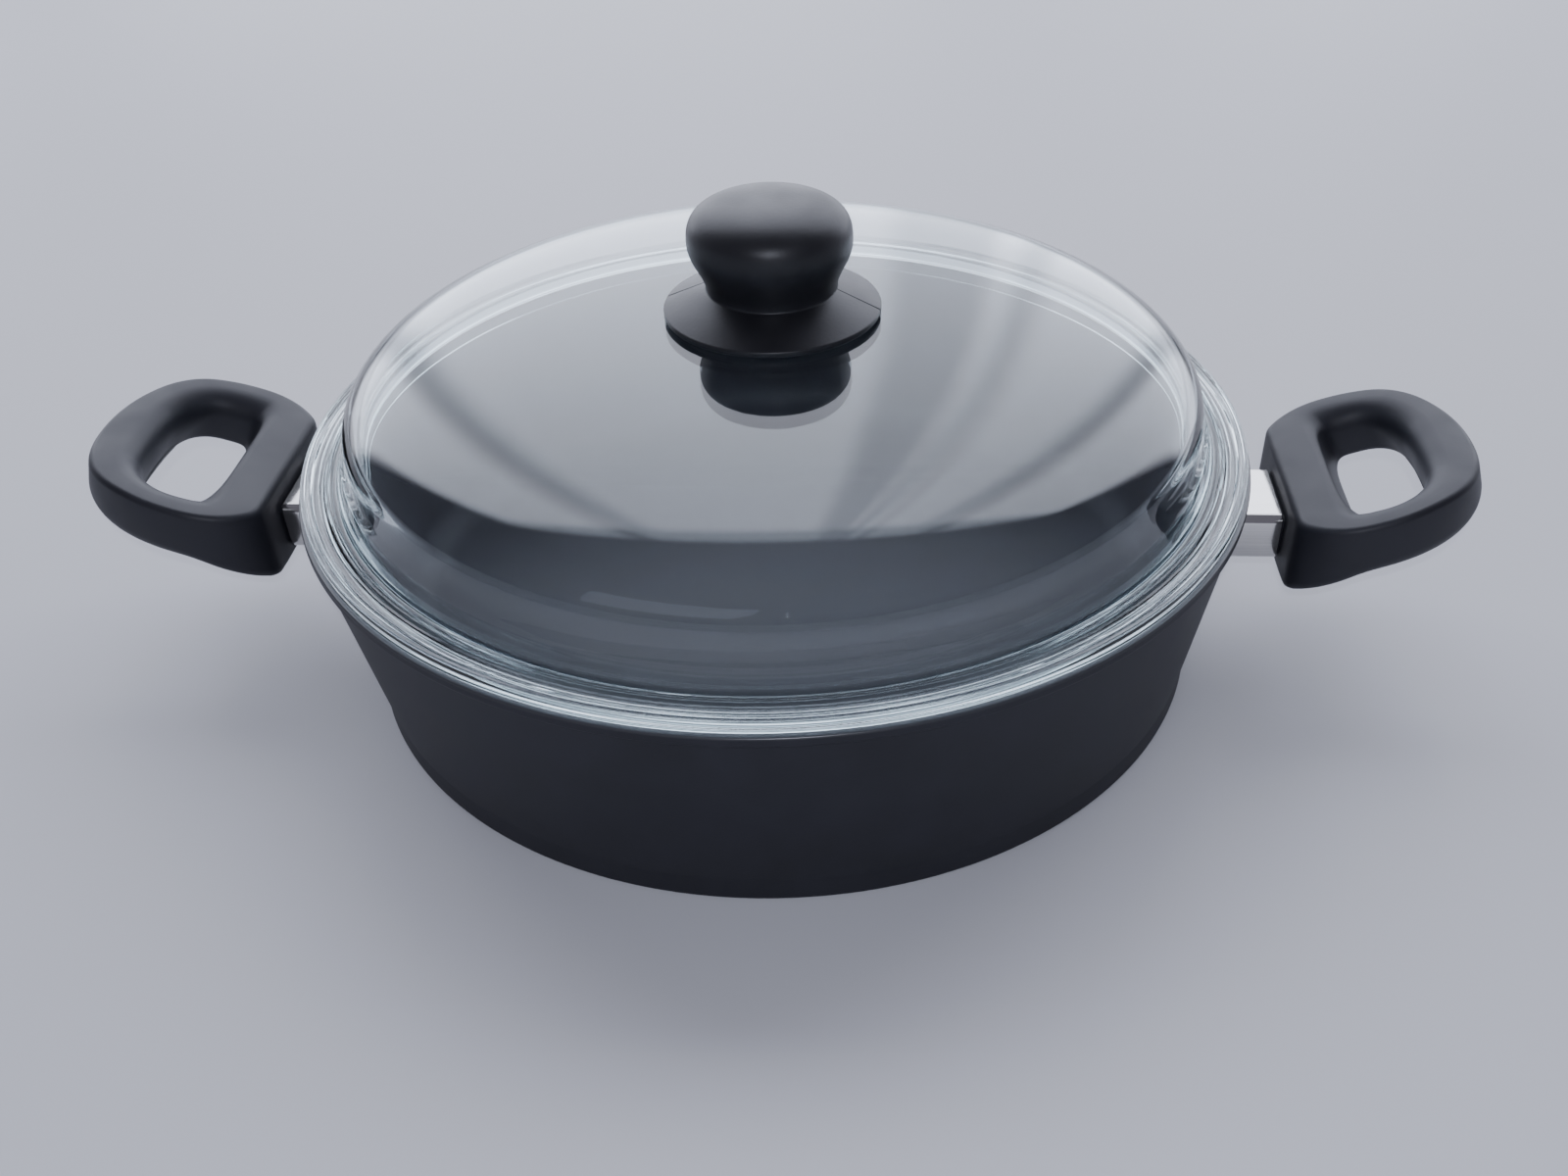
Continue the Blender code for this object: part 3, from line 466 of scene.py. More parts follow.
class Finish(Nodes):
    """A procedural material under construction, in the piece's own coordinates."""

    def __init__(self, name):
        self.material = bpy.data.materials.new(name)
        self.material.use_nodes = True
        super().__init__(self.material.node_tree)
        self.shader = self.tree.nodes["Principled BSDF"]
        self.place = self.add("TexCoord", "Object", {})

    def wire(self, **sources):
        """Link or set the shader's own sockets."""
        self.feed(self.shader, {name.replace("_", " "): value for name, value in sources.items()})

    def stretched(self, scale):
        """The coordinates, scaled differently along each axis."""
        return self.add("Mapping", "Vector", {"Scale": scale, "Vector": self.place})

    def noise(self, scale, detail=3.0, place=None):
        """A noise whose scale is in cells per metre."""
        sources = {"Scale": scale, "Detail": detail, "Vector": place or self.place}
        return self.add("TexNoise", "Fac", sources)

    def rings(self, scale):
        """Fine rings about the Z axis."""
        sources = {"Scale": scale, "Vector": self.place}
        return self.add("TexWave", "Fac", sources, wave_type="RINGS", rings_direction="Z")

    def ranged(self, source, low=0, high=1.0, start=0.3, end=0.7):
        """A value carried over to another range."""
        sources = {"Value": source, "From Min": start, "From Max": end}
        return self.add("MapRange", "Result", {**sources, "To Min": low, "To Max": high})

    def blended(self, source, first, second):
        """A colour between two, by a value."""
        return self.add("Mix", 2, {0: source, 6: first, 7: second}, data_type="RGBA")

    def shades(self, source, colour_value, dark, light):
        """A colour between a darker and a lighter shade of another, by a value."""
        dark_shade = [min(1.0, channel * dark) for channel in colour_value]
        light_shade = [min(1.0, channel * light) for channel in colour_value]
        return self.blended(source, dark_shade, light_shade)

    def above(self, low, high):
        """A value that grows from 0 to 1 between two heights."""
        height = self.add("SeparateXYZ", "Z", {"Vector": self.place})
        return self.ranged(height, start=low, end=high)

    def beyond(self, near, far):
        """A value that grows from 0 to 1 between two radii about the Z axis."""
        level = {0: self.stretched((1.0, 1.0, 0))}
        radius = self.add("VectorMath", "Value", level, operation="LENGTH")
        return self.ranged(radius, start=near, end=far)

    def times(self, first, second):
        """The product of two values."""
        return self.add("Math", "Value", {0: first, 1: second}, operation="MULTIPLY")

    def bump(self, source, distance, strength, before=None):
        """A bump of a given depth, over another if there is one."""
        sources = {"Distance": distance, "Strength": strength, "Height": source}
        if before:
            sources["Normal"] = before
        return self.add("Bump", "Normal", sources)


def nonstick_coat(colours, pan):
    """Sprayed non-stick coat: matt, with a fine orange-peel grain; on the rim's top edge it is
    glossier, with a painted highlight that lightens its colour.
    """
    finish = Finish("nonstick_coat")
    cloud = finish.noise(55.0, 4.0)
    top = finish.above(pan.height - 0.0008, pan.height - 0.0003)
    edge = finish.beyond(pan.rim_radius - 0.0024, pan.rim_radius - 0.0016)
    # Mask of the rim's top edge, where a painted highlight lightens the coat and the coat is made
    # glossier.
    rim = finish.times(top, edge)
    peel = finish.bump(finish.noise(1500.0, 2.0), 0.00004, 0.6)
    coat = finish.shades(finish.ranged(cloud), colours.coat, 0.85, 1.25)
    matt = finish.blended(cloud, (0.5,) * 3, (0.6,) * 3)
    finish.wire(
        Base_Color=finish.blended(rim, coat, colours.rim),
        Specular_IOR_Level=finish.ranged(rim, 0.4, 0.6, 0, 1.0),
        Roughness=finish.blended(rim, matt, (0.3,) * 3),
        Normal=finish.bump(finish.noise(5200.0, 1.0), 0.00002, 0.5, peel),
    )
    return finish.material


def moulded_phenolic(name, colour_value, roughness, grain):
    """Satin phenolic moulding: a fine spark-eroded grain, with faint handling marks."""
    finish = Finish(name)
    cloud = finish.noise(70.0, 5.0)
    peel = finish.bump(finish.noise(900.0, 2.0), grain * 2, 0.35)
    finish.wire(
        Base_Color=finish.shades(finish.ranged(cloud), colour_value, 0.88, 1.18),
        Roughness=finish.ranged(cloud, roughness - 0.04, roughness + 0.06),
        Normal=finish.bump(finish.noise(4200.0, 2.0), grain, 0.5, peel),
    )
    return finish.material


def drawn_steel(colour_value):
    """Polished steel sheet with fine drawn lines along X."""
    finish = Finish("sleeve_steel")
    lines = finish.noise(1.0, 3.0, finish.stretched((30.0, 2600.0, 2600.0)))
    roughness = 0.13
    finish.wire(
        Metallic=1.0,
        Base_Color=finish.shades(finish.ranged(lines), colour_value, 0.93, 1.05),
        Roughness=finish.ranged(finish.noise(160.0), roughness * 0.8, roughness * 1.3),
        Normal=finish.bump(lines, 0.000006, 0.5),
    )
    return finish.material


def turned_metal(name, colour_value, roughness):
    """Metal with fine rings from the lathe."""
    finish = Finish(name)
    cloud = finish.noise(400.0)
    finish.wire(
        Metallic=1.0,
        Base_Color=finish.shades(finish.ranged(cloud), colour_value, 0.9, 1.08),
        Roughness=finish.ranged(cloud, roughness * 0.85, roughness * 1.2),
        Normal=finish.bump(finish.rings(900.0), 0.00001, 0.4),
    )
    return finish.material


def soft_rubber(name, colour_value):
    """Matt silicone."""
    finish = Finish(name)
    cloud = finish.noise(600.0)
    finish.wire(
        Base_Color=finish.shades(cloud, colour_value, 0.85, 1.2),
        Roughness=finish.ranged(cloud, 0.55, 0.7),
        Normal=finish.bump(finish.noise(5000.0, 2.0), 0.00002, 0.4),
    )
    return finish.material


def pressed_glass(colour_value, depth):
    """Clear pressed glass that lets lamps through and takes colour where it is thick."""
    finish = Finish("pressed_glass")
    finish.wire(
        Transmission_Weight=1.0,
        IOR=1.5,
        Base_Color=(1.0, 1.0, 1.0),
        Roughness=finish.ranged(finish.noise(2600.0, 2.0), 0, 0.03, 0.66, 0.8),
        Normal=finish.bump(finish.noise(38.0, 1.5), 0.0001, 0.04),
    )
    shadow = finish.add("LightPath", "Is Shadow Ray", {})
    clear = finish.add("BsdfTransparent", "BSDF", {"Color": (0.94, 0.95, 0.96)})
    layers = {0: shadow, 1: finish.shader.outputs["BSDF"], 2: clear}
    surface = finish.add("MixShader", "Shader", layers)
    inside = finish.add("VolumeAbsorption", "Volume", {"Color": colour_value, "Density": depth})
    finish.feed(finish.tree.nodes["Material Output"], {"Surface": surface, "Volume": inside})
    return finish.material


def studio_floor(colour_value):
    """A plain pale surface."""
    finish = Finish("studio_floor")
    finish.wire(
        Base_Color=finish.shades(finish.noise(3.0, 4.0), colour_value, 0.97, 1.03),
        Roughness=0.55,
        Normal=finish.bump(finish.noise(900.0, 2.0), 0.00002, 0.4),
    )
    return finish.material


def wall_core(pan, offset):
    """A solid that fills the pan up to its flaring wall, moved outwards by an offset."""
    ends = (pan.foot_height, pan.height - pan.rim_depth)
    wall_top = pan.rim_radius - pan.rim_overhang + offset
    return cone("wall_core", *ends, pan.base_radius + offset, wall_top, pan.steps)


class SERVINGPAN_OT_body(bpy.types.Operator):
    """Build the cast pan with its rolled rim, foot band and two lugs"""

    bl_idname = "serving_pan.body"
    bl_label = "Cast pan"

    def execute(self, context):
        plan = context.scene.serving_pan
        pan = plan.pan
        rim_foot = pan.height - pan.rim_depth
        mouth = pan.rim_radius - pan.rim_width
        wall_top = pan.rim_radius - pan.rim_overhang
        ring_outer = pan.base_radius * 0.9
        ring_inner = pan.base_radius * 0.89
        ring_depth = 0.0004
        corners = [
            (0, pan.floor, 0),
            (pan.base_radius - pan.wall, pan.floor, pan.floor_fillet),
            (mouth, rim_foot, 0.003),
            (mouth, pan.height, 0.001),
            (pan.rim_radius, pan.height, pan.rim_edge),
            (pan.rim_radius, rim_foot, pan.rim_depth * 0.47),
            (wall_top, rim_foot, 0.0006),
            (pan.base_radius, pan.foot_height, 0.004),
            (pan.base_radius, 0, pan.base_edge),
            (ring_outer, 0, FINE_EDGE),
            (ring_outer - ring_depth, ring_depth, FINE_EDGE),
            (ring_inner, ring_depth, FINE_EDGE),
            (ring_inner - ring_depth, 0, FINE_EDGE),
            (0, 0, 0),
        ]
        body = turned("cast_pan", corners, pan.steps)
        sleeve = plan.sleeve
        thread_radius = (BOLT_WASHER_HIGH.z - BOLT_WASHER_LOW.z) / 2 * 0.6
        for side, turn in SIDES.items():
            start = pan.base_radius / 2
            lug = sleeve_plug(f"{side}_lug", sleeve, sleeve.lug_clearance, start, PAN_HIGH.x)
            carve(lug, wall_core(pan, -pan.wall / 2), "DIFFERENCE")
            thread = bolt_way(f"{side}_thread", BOLT_LOW.x, PAN_HIGH.x + 0.001, thread_radius)
            for piece, operation in ((lug, "UNION"), (thread, "DIFFERENCE")):
                piece.data.transform(about_z(turn))
                carve(body, piece, operation)
        add_piece(body, "pan", nonstick_coat(plan.finish, pan), "pan_body")
        return {"FINISHED"}


class SERVINGPAN_OT_sleeves(bpy.types.Operator):
    """Build the polished steel sleeves, their ends cut to the pan's wall"""

    bl_idname = "serving_pan.sleeves"
    bl_label = "Steel sleeves"

    def execute(self, context):
        plan = context.scene.serving_pan
        finish = drawn_steel(plan.finish.steel)
        for side, turn in SIDES.items():
            sleeve = self.tube(plan, 0, f"{side}_sleeve")
            carve(sleeve, self.tube(plan, plan.sleeve.sheet, f"{side}_bore"), "DIFFERENCE")
            carve(sleeve, wall_core(plan.pan, FIT_GAP), "DIFFERENCE")
            sleeve.data.transform(about_z(turn))
            add_piece(sleeve, "pan", finish, f"{side}_flame_guard")
        return {"FINISHED"}

    def tube(self, plan, inset, name):
        """A rounded rectangular bar along X. With an inset it is thinner, and longer to cut."""
        half_width = SLEEVE_HIGH.y - inset
        half_height = (SLEEVE_HIGH.z - SLEEVE_LOW.z) / 2 - inset
        radius = plan.sleeve.corner - inset
        quarters = ((-1, -1), (1, -1), (1, 1), (-1, 1))
        outline = rounded([(a * half_width, b * half_height, radius) for a, b in quarters], True)
        start = plan.pan.base_radius * 0.8
        edge = 0.00035
        stations = [(start, 0), (SLEEVE_HIGH.x - edge, 0), (SLEEVE_HIGH.x, edge)]
        if inset:
            stations = [(start - 0.001, 0), (SLEEVE_HIGH.x + 0.001, 0)]
        bm = bmesh.new()
        rings = []
        for along, shrink in stations:
            wide = 1 - shrink / half_width
            high = 1 - shrink / half_height
            places = [(along, p.x * wide, SLEEVE_MIDDLE + p.y * high) for p in outline]
            rings.append([bm.verts.new(place) for place in places])
        for ring, beside in zip(rings, rings[1:]):
            bridge(bm, ring, beside)
        bm.faces.new(rings[0])
        bm.faces.new(rings[-1])
        return new_object(name, finished_mesh(bm, name))


def egg(turn, centre, ahead, behind, half_width, power_ahead, power_behind):
    """A point on an egg-shaped outline, whose two halves differ in length and squareness."""
    cosine = math.cos(turn)
    sine = math.sin(turn)
    reach = ahead if cosine > 0 else behind
    power = 2 / (power_ahead if cosine > 0 else power_behind)
    along = math.copysign(abs(cosine) ** power, cosine)
    across = math.copysign(abs(sine) ** power, sine)
    return Vector((centre + reach * along, half_width * across))


class LoopHandle:
    """The shape of a handle's loop, as rounded sections around its finger hole."""

    def __init__(self, sizes):
        self.sizes = sizes
        self.face = SLEEVE_HIGH.x + FIT_GAP
        self.half_width = HANDLE_HIGH.y
        self.top = SLEEVE_HIGH.z + sizes.face_above
        self.bottom = SLEEVE_LOW.z - sizes.face_below
        self.end_top = self.top + sizes.rise
        self.slope = math.tan(sizes.tilt)

    def __getattr__(self, name):
        return getattr(self.sizes, name)

    def rise_at(self, along):
        """What the tilt adds to a height, before its two ends are levelled."""
        return (along - self.face - self.tilt_start) * self.slope

    def top_at(self, along):
        """Height of the top face: level at the pan, then tilted up, then level at the end."""
        tilted = soft_max(self.top, self.top + self.rise_at(along), self.blend)
        return soft_min(tilted, self.end_top, self.blend)

    def bottom_at(self, along):
        """Height of the underside: a steep heel by the pan, then a face along the tilt."""
        heel = self.bottom + (along - self.face) * self.heel_slope
        return soft_min(heel, self.top + self.rise_at(along) - self.thickness, self.blend)

    def outer(self, turn, lean, face):
        """A point of the outer outline, flattened where it faces the pan."""
        reach = (self.loop_ahead, self.loop_behind, self.half_width)
        point = egg(turn, self.loop_centre, *reach, self.loop_power, self.loop_power)
        shift = lean * (1 + math.cos(turn)) / 2
        point.x = self.face + soft_max(point.x + shift, face, self.face_corner)
        return point

    def hole(self, turn, lean):
        """A point of the finger hole's outline."""
        reach = (self.hole_ahead, self.hole_behind, self.half_width - self.hole_side)
        powers = (self.hole_power_ahead, self.hole_power_behind)
        point = egg(turn, self.hole_centre + lean, *reach, *powers)
        point.x += self.face
        return point

    def arc(self, across, up, width, height, first):
        """Points, in shares of a section, of the arc that rounds one of its corners."""
        centre_across = width if across == 0 else 1 - width
        centre_up = height if up == 0 else 1 - height
        for step in range(self.arc_steps + 1):
            at = first - QUARTER_TURN * step / self.arc_steps
            yield centre_across + width * math.cos(at), centre_up + height * math.sin(at)

    def section(self, turn):
        """One rounded cross-section, from its outer foot round over the top."""
        top_outer = self.outer(turn, 0, self.face_lean)
        foot_outer = self.outer(turn, self.lean, 0)
        top_hole = self.hole(turn, 0)
        foot_hole = self.hole(turn, self.hole_lean)
        width = (top_outer - top_hole).length
        height = self.top_at(top_outer.x) - self.bottom_at(foot_outer.x)
        outwards = (1 + math.cos(turn)) / 2
        funnel = self.bar_edge + (self.funnel_edge - self.bar_edge) * min(1.0, outwards * 1.6)
        funnel = min(funnel, width * 0.6)
        heel = self.heel_edge + (self.loop_foot_edge - self.heel_edge) * min(1.0, outwards * 2)
        heel = min(heel, width * 0.45)
        edge = min(self.top_edge, width * 0.35)
        foot = min(self.foot_edge, width * 0.3)
        corners = ((0, 0, heel), (0, 1, edge), (1, 1, funnel), (1, 0, foot))
        points = []
        for index, (side, level, radius) in enumerate(corners):
            first = (3 - index) * QUARTER_TURN
            for across, up in self.arc(side, level, radius / width, radius / height, first):
                outer = foot_outer.lerp(top_outer, up)
                plan = outer.lerp(foot_hole.lerp(top_hole, up), across)
                low = self.bottom_at(plan.x)
                points.append((plan.x, plan.y, low + (self.top_at(plan.x) - low) * up))
        return points

    def mesh(self, name):
        """The loop, lofted through its sections."""
        bm = bmesh.new()
        rings = [
            [bm.verts.new(point) for point in self.section(math.tau * index / self.stations)]
            for index in range(self.stations)
        ]
        for ring, beside in zip(rings, rings[1:] + rings[:1]):
            bridge(bm, ring, beside)
        return finished_mesh(bm, name)


class SERVINGPAN_OT_handles(bpy.types.Operator):
    """Build the moulded handles: the loop, its nose and the way in for the screw"""

    bl_idname = "serving_pan.handles"
    bl_label = "Handles"

    def execute(self, context):
        plan = context.scene.serving_pan
        finish = moulded_phenolic("handle_phenolic", plan.finish.phenolic, 0.5, 0.00002)
        loop = LoopHandle(plan.handle)
        seat = BOLT_WASHER_LOW.x - FIT_GAP
        shank_way = (HANDLE_LOW.x - 0.003, seat + 0.003, 0.0023)
        head_way = (seat, HANDLE_HIGH.x + 0.01, BOLT_HEAD_RADIUS + 0.0005)
        nose = (HANDLE_LOW.x, loop.face + 0.004)
        for side, turn in SIDES.items():
            handle = new_object(f"{side}_loop_handle", loop.mesh(f"{side}_loop_handle"))
            carve(handle, sleeve_plug(f"{side}_nose", plan.sleeve, FIT_GAP, *nose), "UNION")
            carve(handle, bolt_way(f"{side}_bolt_hole", *shank_way), "DIFFERENCE")
            carve(handle, bolt_way(f"{side}_recess", *head_way), "DIFFERENCE")
            handle.data.transform(about_z(turn))
            add_piece(handle, "pan", finish, f"{side}_handle")
        return {"FINISHED"}


def cross_recess(top, depth, reach, arm):
    """A tapered cross that cuts a screwdriver recess down from a given height."""
    half = arm / 2
    bm = bmesh.new()
    rings = []
    for height, span in ((top + depth * 0.2, reach * 1.1), (top - depth, reach * 0.35)):
        arms = [Vector((span, -half, height)), Vector((span, half, height))]
        arms.append(Vector((half, half, height)))
        turns = [Matrix.Rotation(QUARTER_TURN * quarter, 3, "Z") for quarter in range(4)]
        rings.append([bm.verts.new(turn @ corner) for turn in turns for corner in arms])
    bridge(bm, *rings)
    for ring in rings:
        bm.faces.new(ring)
    return new_object("cross_recess", finished_mesh(bm, "cross_recess"))


class SERVINGPAN_OT_handle_screws(bpy.types.Operator):
    """Build the handle screws and the washers under their heads"""

    bl_idname = "serving_pan.handle_screws"
    bl_label = "Handle screws"

    def execute(self, context):
        plan = context.scene.serving_pan
        steel = turned_metal("screw_steel", plan.finish.zinc, 0.3)
        shank = 0.002
        seat = BOLT_WASHER_HIGH.x + FIT_GAP
        corners = [
            (0, BOLT_HIGH.x, 0),
            (BOLT_HEAD_RADIUS * 0.5, BOLT_HIGH.x, 0.002),
            (BOLT_HEAD_RADIUS, seat + 0.0012, 0.0004),
            (BOLT_HEAD_RADIUS, seat, CRISP_EDGE),
            (shank, seat, CRISP_EDGE),
            *thread_corners(shank, seat - 0.003, BOLT_LOW.x + 0.0008, 0.0007),
            (shank * 0.6, BOLT_LOW.x, FINE_EDGE),
            (0, BOLT_LOW.x, 0),
        ]
        ring = (shank + FIT_GAP, BOLT_HEAD_RADIUS, BOLT_WASHER_LOW.x, BOLT_WASHER_HIGH.x)
        for side, turn in SIDES.items():
            place = about_z(turn) @ along_x(BOLT_MIDDLE)
            screw = turned(f"{side}_screw", corners, SCREW_STEPS)
            carve(screw, cross_recess(BOLT_HIGH.x, 0.0016, 0.0018, 0.0008), "DIFFERENCE")
            screw.data.transform(place)
            add_piece(screw, "pan", steel, f"{side}_handle_screw")
            washer = flat_ring(f"{side}_washer", *ring, FINE_EDGE, CRISP_EDGE, SCREW_STEPS)
            washer.data.transform(place)
            add_piece(washer, "pan", steel, f"{side}_screw_washer")
        return {"FINISHED"}


def thread_corners(radius, high, low, pitch):
    """Corners of a shank with fine grooves that read as a thread, from high to low."""
    corners = []
    for index in range(int((high - low) / pitch)):
        top = high - index * pitch
        corners += [(radius, top, 0), (radius - pitch * 0.35, top - pitch / 2, 0)]
    return [*corners, (radius, low, 0)]


class SERVINGPAN_OT_glass(bpy.types.Operator):
    """Build the pressed glass lid with its dome, ribbed flange and lip"""

    bl_idname = "serving_pan.glass"
    bl_label = "Glass lid"

    def execute(self, context):
        plan = context.scene.serving_pan
        lid = plan.lid
        radius = GLASS_HIGH.x
        rise = lid.dome_height - lid.shoulder_height
        lean = (lid.foot_radius - lid.shoulder_radius) / (lid.shoulder_height - lid.glass)
        outside = self.dome(lid, lid.shoulder_radius, rise, lean)
        inside = self.dome(lid, lid.shoulder_radius - lid.glass, rise - lid.glass, lean)
        groove = lid.foot_radius + lid.step_width
        ridge = groove + lid.step_width
        low = lid.glass - lid.step_height
        relief = 0.0004
        corners = [
            (*outside[-1], 0),
            (lid.foot_radius, lid.glass, 0.0022),
            *self.ribs(lid, groove - 0.0018, lid.glass, 2),
            (groove, lid.glass, 0.0003),
            (groove + lid.step_height, low, 0.0003),
            *self.ribs(lid, groove + 0.0014, low, 1),
            (ridge, low, 0.0003),
            (ridge + lid.step_height, lid.glass, 0.0003),
            *self.ribs(lid, ridge + 0.001, lid.glass, 2),
            (radius, lid.glass, lid.edge),
            (radius, 0, lid.foot_edge),
            (radius - lid.rest_width, 0, 0.0004),
            (radius - lid.rest_width - relief, relief, 0.0004),
            (lid.lip_radius + 0.0008, relief, 0.0006),
            (lid.lip_radius, -relief, 0.0008),
            (lid.lip_radius, -lid.lip_depth, 0.0016),
            (lid.lip_radius - lid.lip_width, -lid.lip_depth, 0.0018),
            (*inside[-1], 0),
        ]
        points = outside + rounded(corners)[1:-1] + inside[::-1]
        glass = new_object("clear_lid", turned_mesh("clear_lid", points, lid.steps, closed=True))
        glass.data.transform(lift(GLASS_LOW.z + lid.lip_depth))
        finish = pressed_glass(plan.finish.glass, plan.finish.glass_depth)
        add_piece(glass, "lid", finish, "lid_glass")
        return {"FINISHED"}

    def ribs(self, lid, start, height, number):
        """Corners of fine pressed grooves in a level face."""
        places = [start + index * lid.rib_width * 1.3 for index in range(number)]
        foot = height - lid.rib_depth
        shape = ((0, height, 0), (0.5, foot, CRISP_EDGE), (1.0, height, 0))
        return [(a + share * lid.rib_width, up, edge) for a in places for share, up, edge in shape]

    def dome(self, lid, radius, rise, lean):
        """The dome's line from its hole out to its leaning wall."""
        start = math.acos((lid.hole_radius / radius) ** (lid.dome_power / 2))
        power = 2 / lid.dome_power
        points = []
        spans = 16
        for step in range(spans):
            turn = start * (1 - step / spans)
            up = rise * math.sin(turn) ** power
            points.append(Vector((radius * math.cos(turn) ** power, lid.shoulder_height + up)))
        for share in (0.245, 0.7):
            down = (lid.shoulder_height - lid.glass) * share
            points.append(Vector((radius + lean * down, lid.shoulder_height - down)))
        return smooth_line(points, 4)


class SERVINGPAN_OT_knob(bpy.types.Operator):
    """Build the moulded knob with its parting line"""

    bl_idname = "serving_pan.knob"
    bl_label = "Knob"

    def execute(self, context):
        plan = context.scene.serving_pan
        knob = plan.knob
        base = KNOB_LOW.z
        rise = KNOB_HIGH.z - base - knob.belly
        power = 2 / knob.power
        corners = []
        for turn in (QUARTER_TURN * step / 40 for step in range(41)):
            across = knob.radius * math.sin(turn) ** power
            corners.append((across, knob.belly + rise * math.cos(turn) ** power, 0))
        for share in (1 - step / 20 for step in range(1, 20)):
            swell = (knob.radius - knob.neck_radius) * (1 - math.cos(math.pi * share)) / 2
            up = knob.neck_foot + (knob.belly - knob.neck_foot) * share
            corners.append((knob.neck_radius + swell, up, 0))
        boss_foot = INSERT_LOW.z - base
        insert_radius = INSERT_HIGH.x + FIT_GAP
        insert_top = INSERT_HIGH.z - base + FIT_GAP
        hollow = knob.belly - knob.wall
        inside = knob.neck_radius - knob.wall
        corners += [
            (knob.neck_radius, knob.neck_foot, 0.0006),
            (KNOB_HIGH.x, knob.flange, 0.0007),
            (KNOB_HIGH.x, 0, SMALL_EDGE),
            (KNOB_HIGH.x - knob.wall, 0, 0.0003),
            (inside, knob.neck_foot - knob.wall / 2, knob.fillet),
            (inside, hollow, knob.fillet),
            (knob.boss_radius, hollow, knob.fillet),
            (knob.boss_radius, boss_foot, SMALL_EDGE),
            (insert_radius, boss_foot, FINE_EDGE),
            (insert_radius, insert_top, FINE_EDGE),
            (0, insert_top, 0),
        ]
        seams = (knob.seam_turn, knob.seam_turn + math.pi)
        points = rounded(corners)
        sunk = []
        for before, point, after in zip([points[0], *points], points, [*points[1:], points[-1]]):
            along = (after - before).normalized()
            depth = knob.seam_depth * max(0, 1 - point.y / knob.belly) * (point.x > MERGE)
            sunk.append(point - Vector((-along.y, along.x)) * depth)
        mesh = turned_mesh("grip_knob", points, knob.steps, False, seams, sunk)
        mesh.transform(lift(base))
        finish = moulded_phenolic("knob_phenolic", plan.finish.knob, 0.4, 0.00004)
        add_piece(new_object("grip_knob", mesh), "lid", finish, "lid_knob")
        return {"FINISHED"}


class SERVINGPAN_OT_fittings(bpy.types.Operator):
    """Build what holds the knob on the glass"""

    bl_idname = "serving_pan.fittings"
    bl_label = "Knob fittings"

    def execute(self, context):
        plan = context.scene.serving_pan
        bore = 0.0028
        brass = turned_metal("insert_brass", plan.finish.brass, 0.28)
        rubber = soft_rubber("bush_silicone", plan.finish.silicone)
        steel = turned_metal("fitting_steel", plan.finish.zinc, 0.24)
        rings = (
            ("threaded_insert", "knob_insert", "brass", brass, INSERT_LOW, INSERT_HIGH, 0.0004),
            ("seat_washer", "knob_seat_washer", "silicone", rubber, SEAT_LOW, SEAT_HIGH, 0.0004),
            ("cup_washer", "inner_washer", "screw_steel", steel, CUP_LOW, CUP_HIGH, 0.0005),
        )
        for name, node, slot, finish, low, high, edge in rings:
            sizes = (bore, high.x, low.z, high.z, edge, edge / 4, SMALL_STEPS)
            add_piece(flat_ring(name, *sizes), "lid", finish, node)
        bush_radius = plan.lid.hole_radius - FIT_GAP
        collar_top = BUSH_LOW.z + 0.0016
        corners = [
            (bore, BUSH_HIGH.z, CRISP_EDGE),
            (bush_radius, BUSH_HIGH.z, FINE_EDGE),
            (bush_radius, collar_top, 0.0003),
            (BUSH_HIGH.x, collar_top, SMALL_EDGE),
            (BUSH_HIGH.x, BUSH_LOW.z, SMALL_EDGE),
            (bore, BUSH_LOW.z, CRISP_EDGE),
        ]
        bush = turned("glass_collar", corners, SMALL_STEPS, True)
        add_piece(bush, "lid", rubber, "glass_bush")
        shank = 0.0025
        head = KNOB_SCREW_HIGH.x
        top = KNOB_SCREW_HIGH.z
        foot = KNOB_SCREW_LOW.z
        seat = CUP_LOW.z - FIT_GAP
        corners = [
            (0, top, 0),
            (shank * 0.6, top, FINE_EDGE),
            *thread_corners(shank, top - 0.001, INSERT_LOW.z, 0.0008),
            (shank, seat, FINE_EDGE),
            (head, seat, FINE_EDGE),
            (head, seat - 0.001, 0.0006),
            (head * 0.55, foot, 0.002),
            (0, foot, 0),
        ]
        screw = turned("knob_bolt", corners, SMALL_STEPS)
        recess = cross_recess(-foot, 0.0018, 0.0022, 0.001)
        recess.data.transform(Matrix.Rotation(math.pi, 4, "X"))
        carve(screw, recess, "DIFFERENCE")
        add_piece(screw, "lid", steel, "knob_screw")
        return {"FINISHED"}


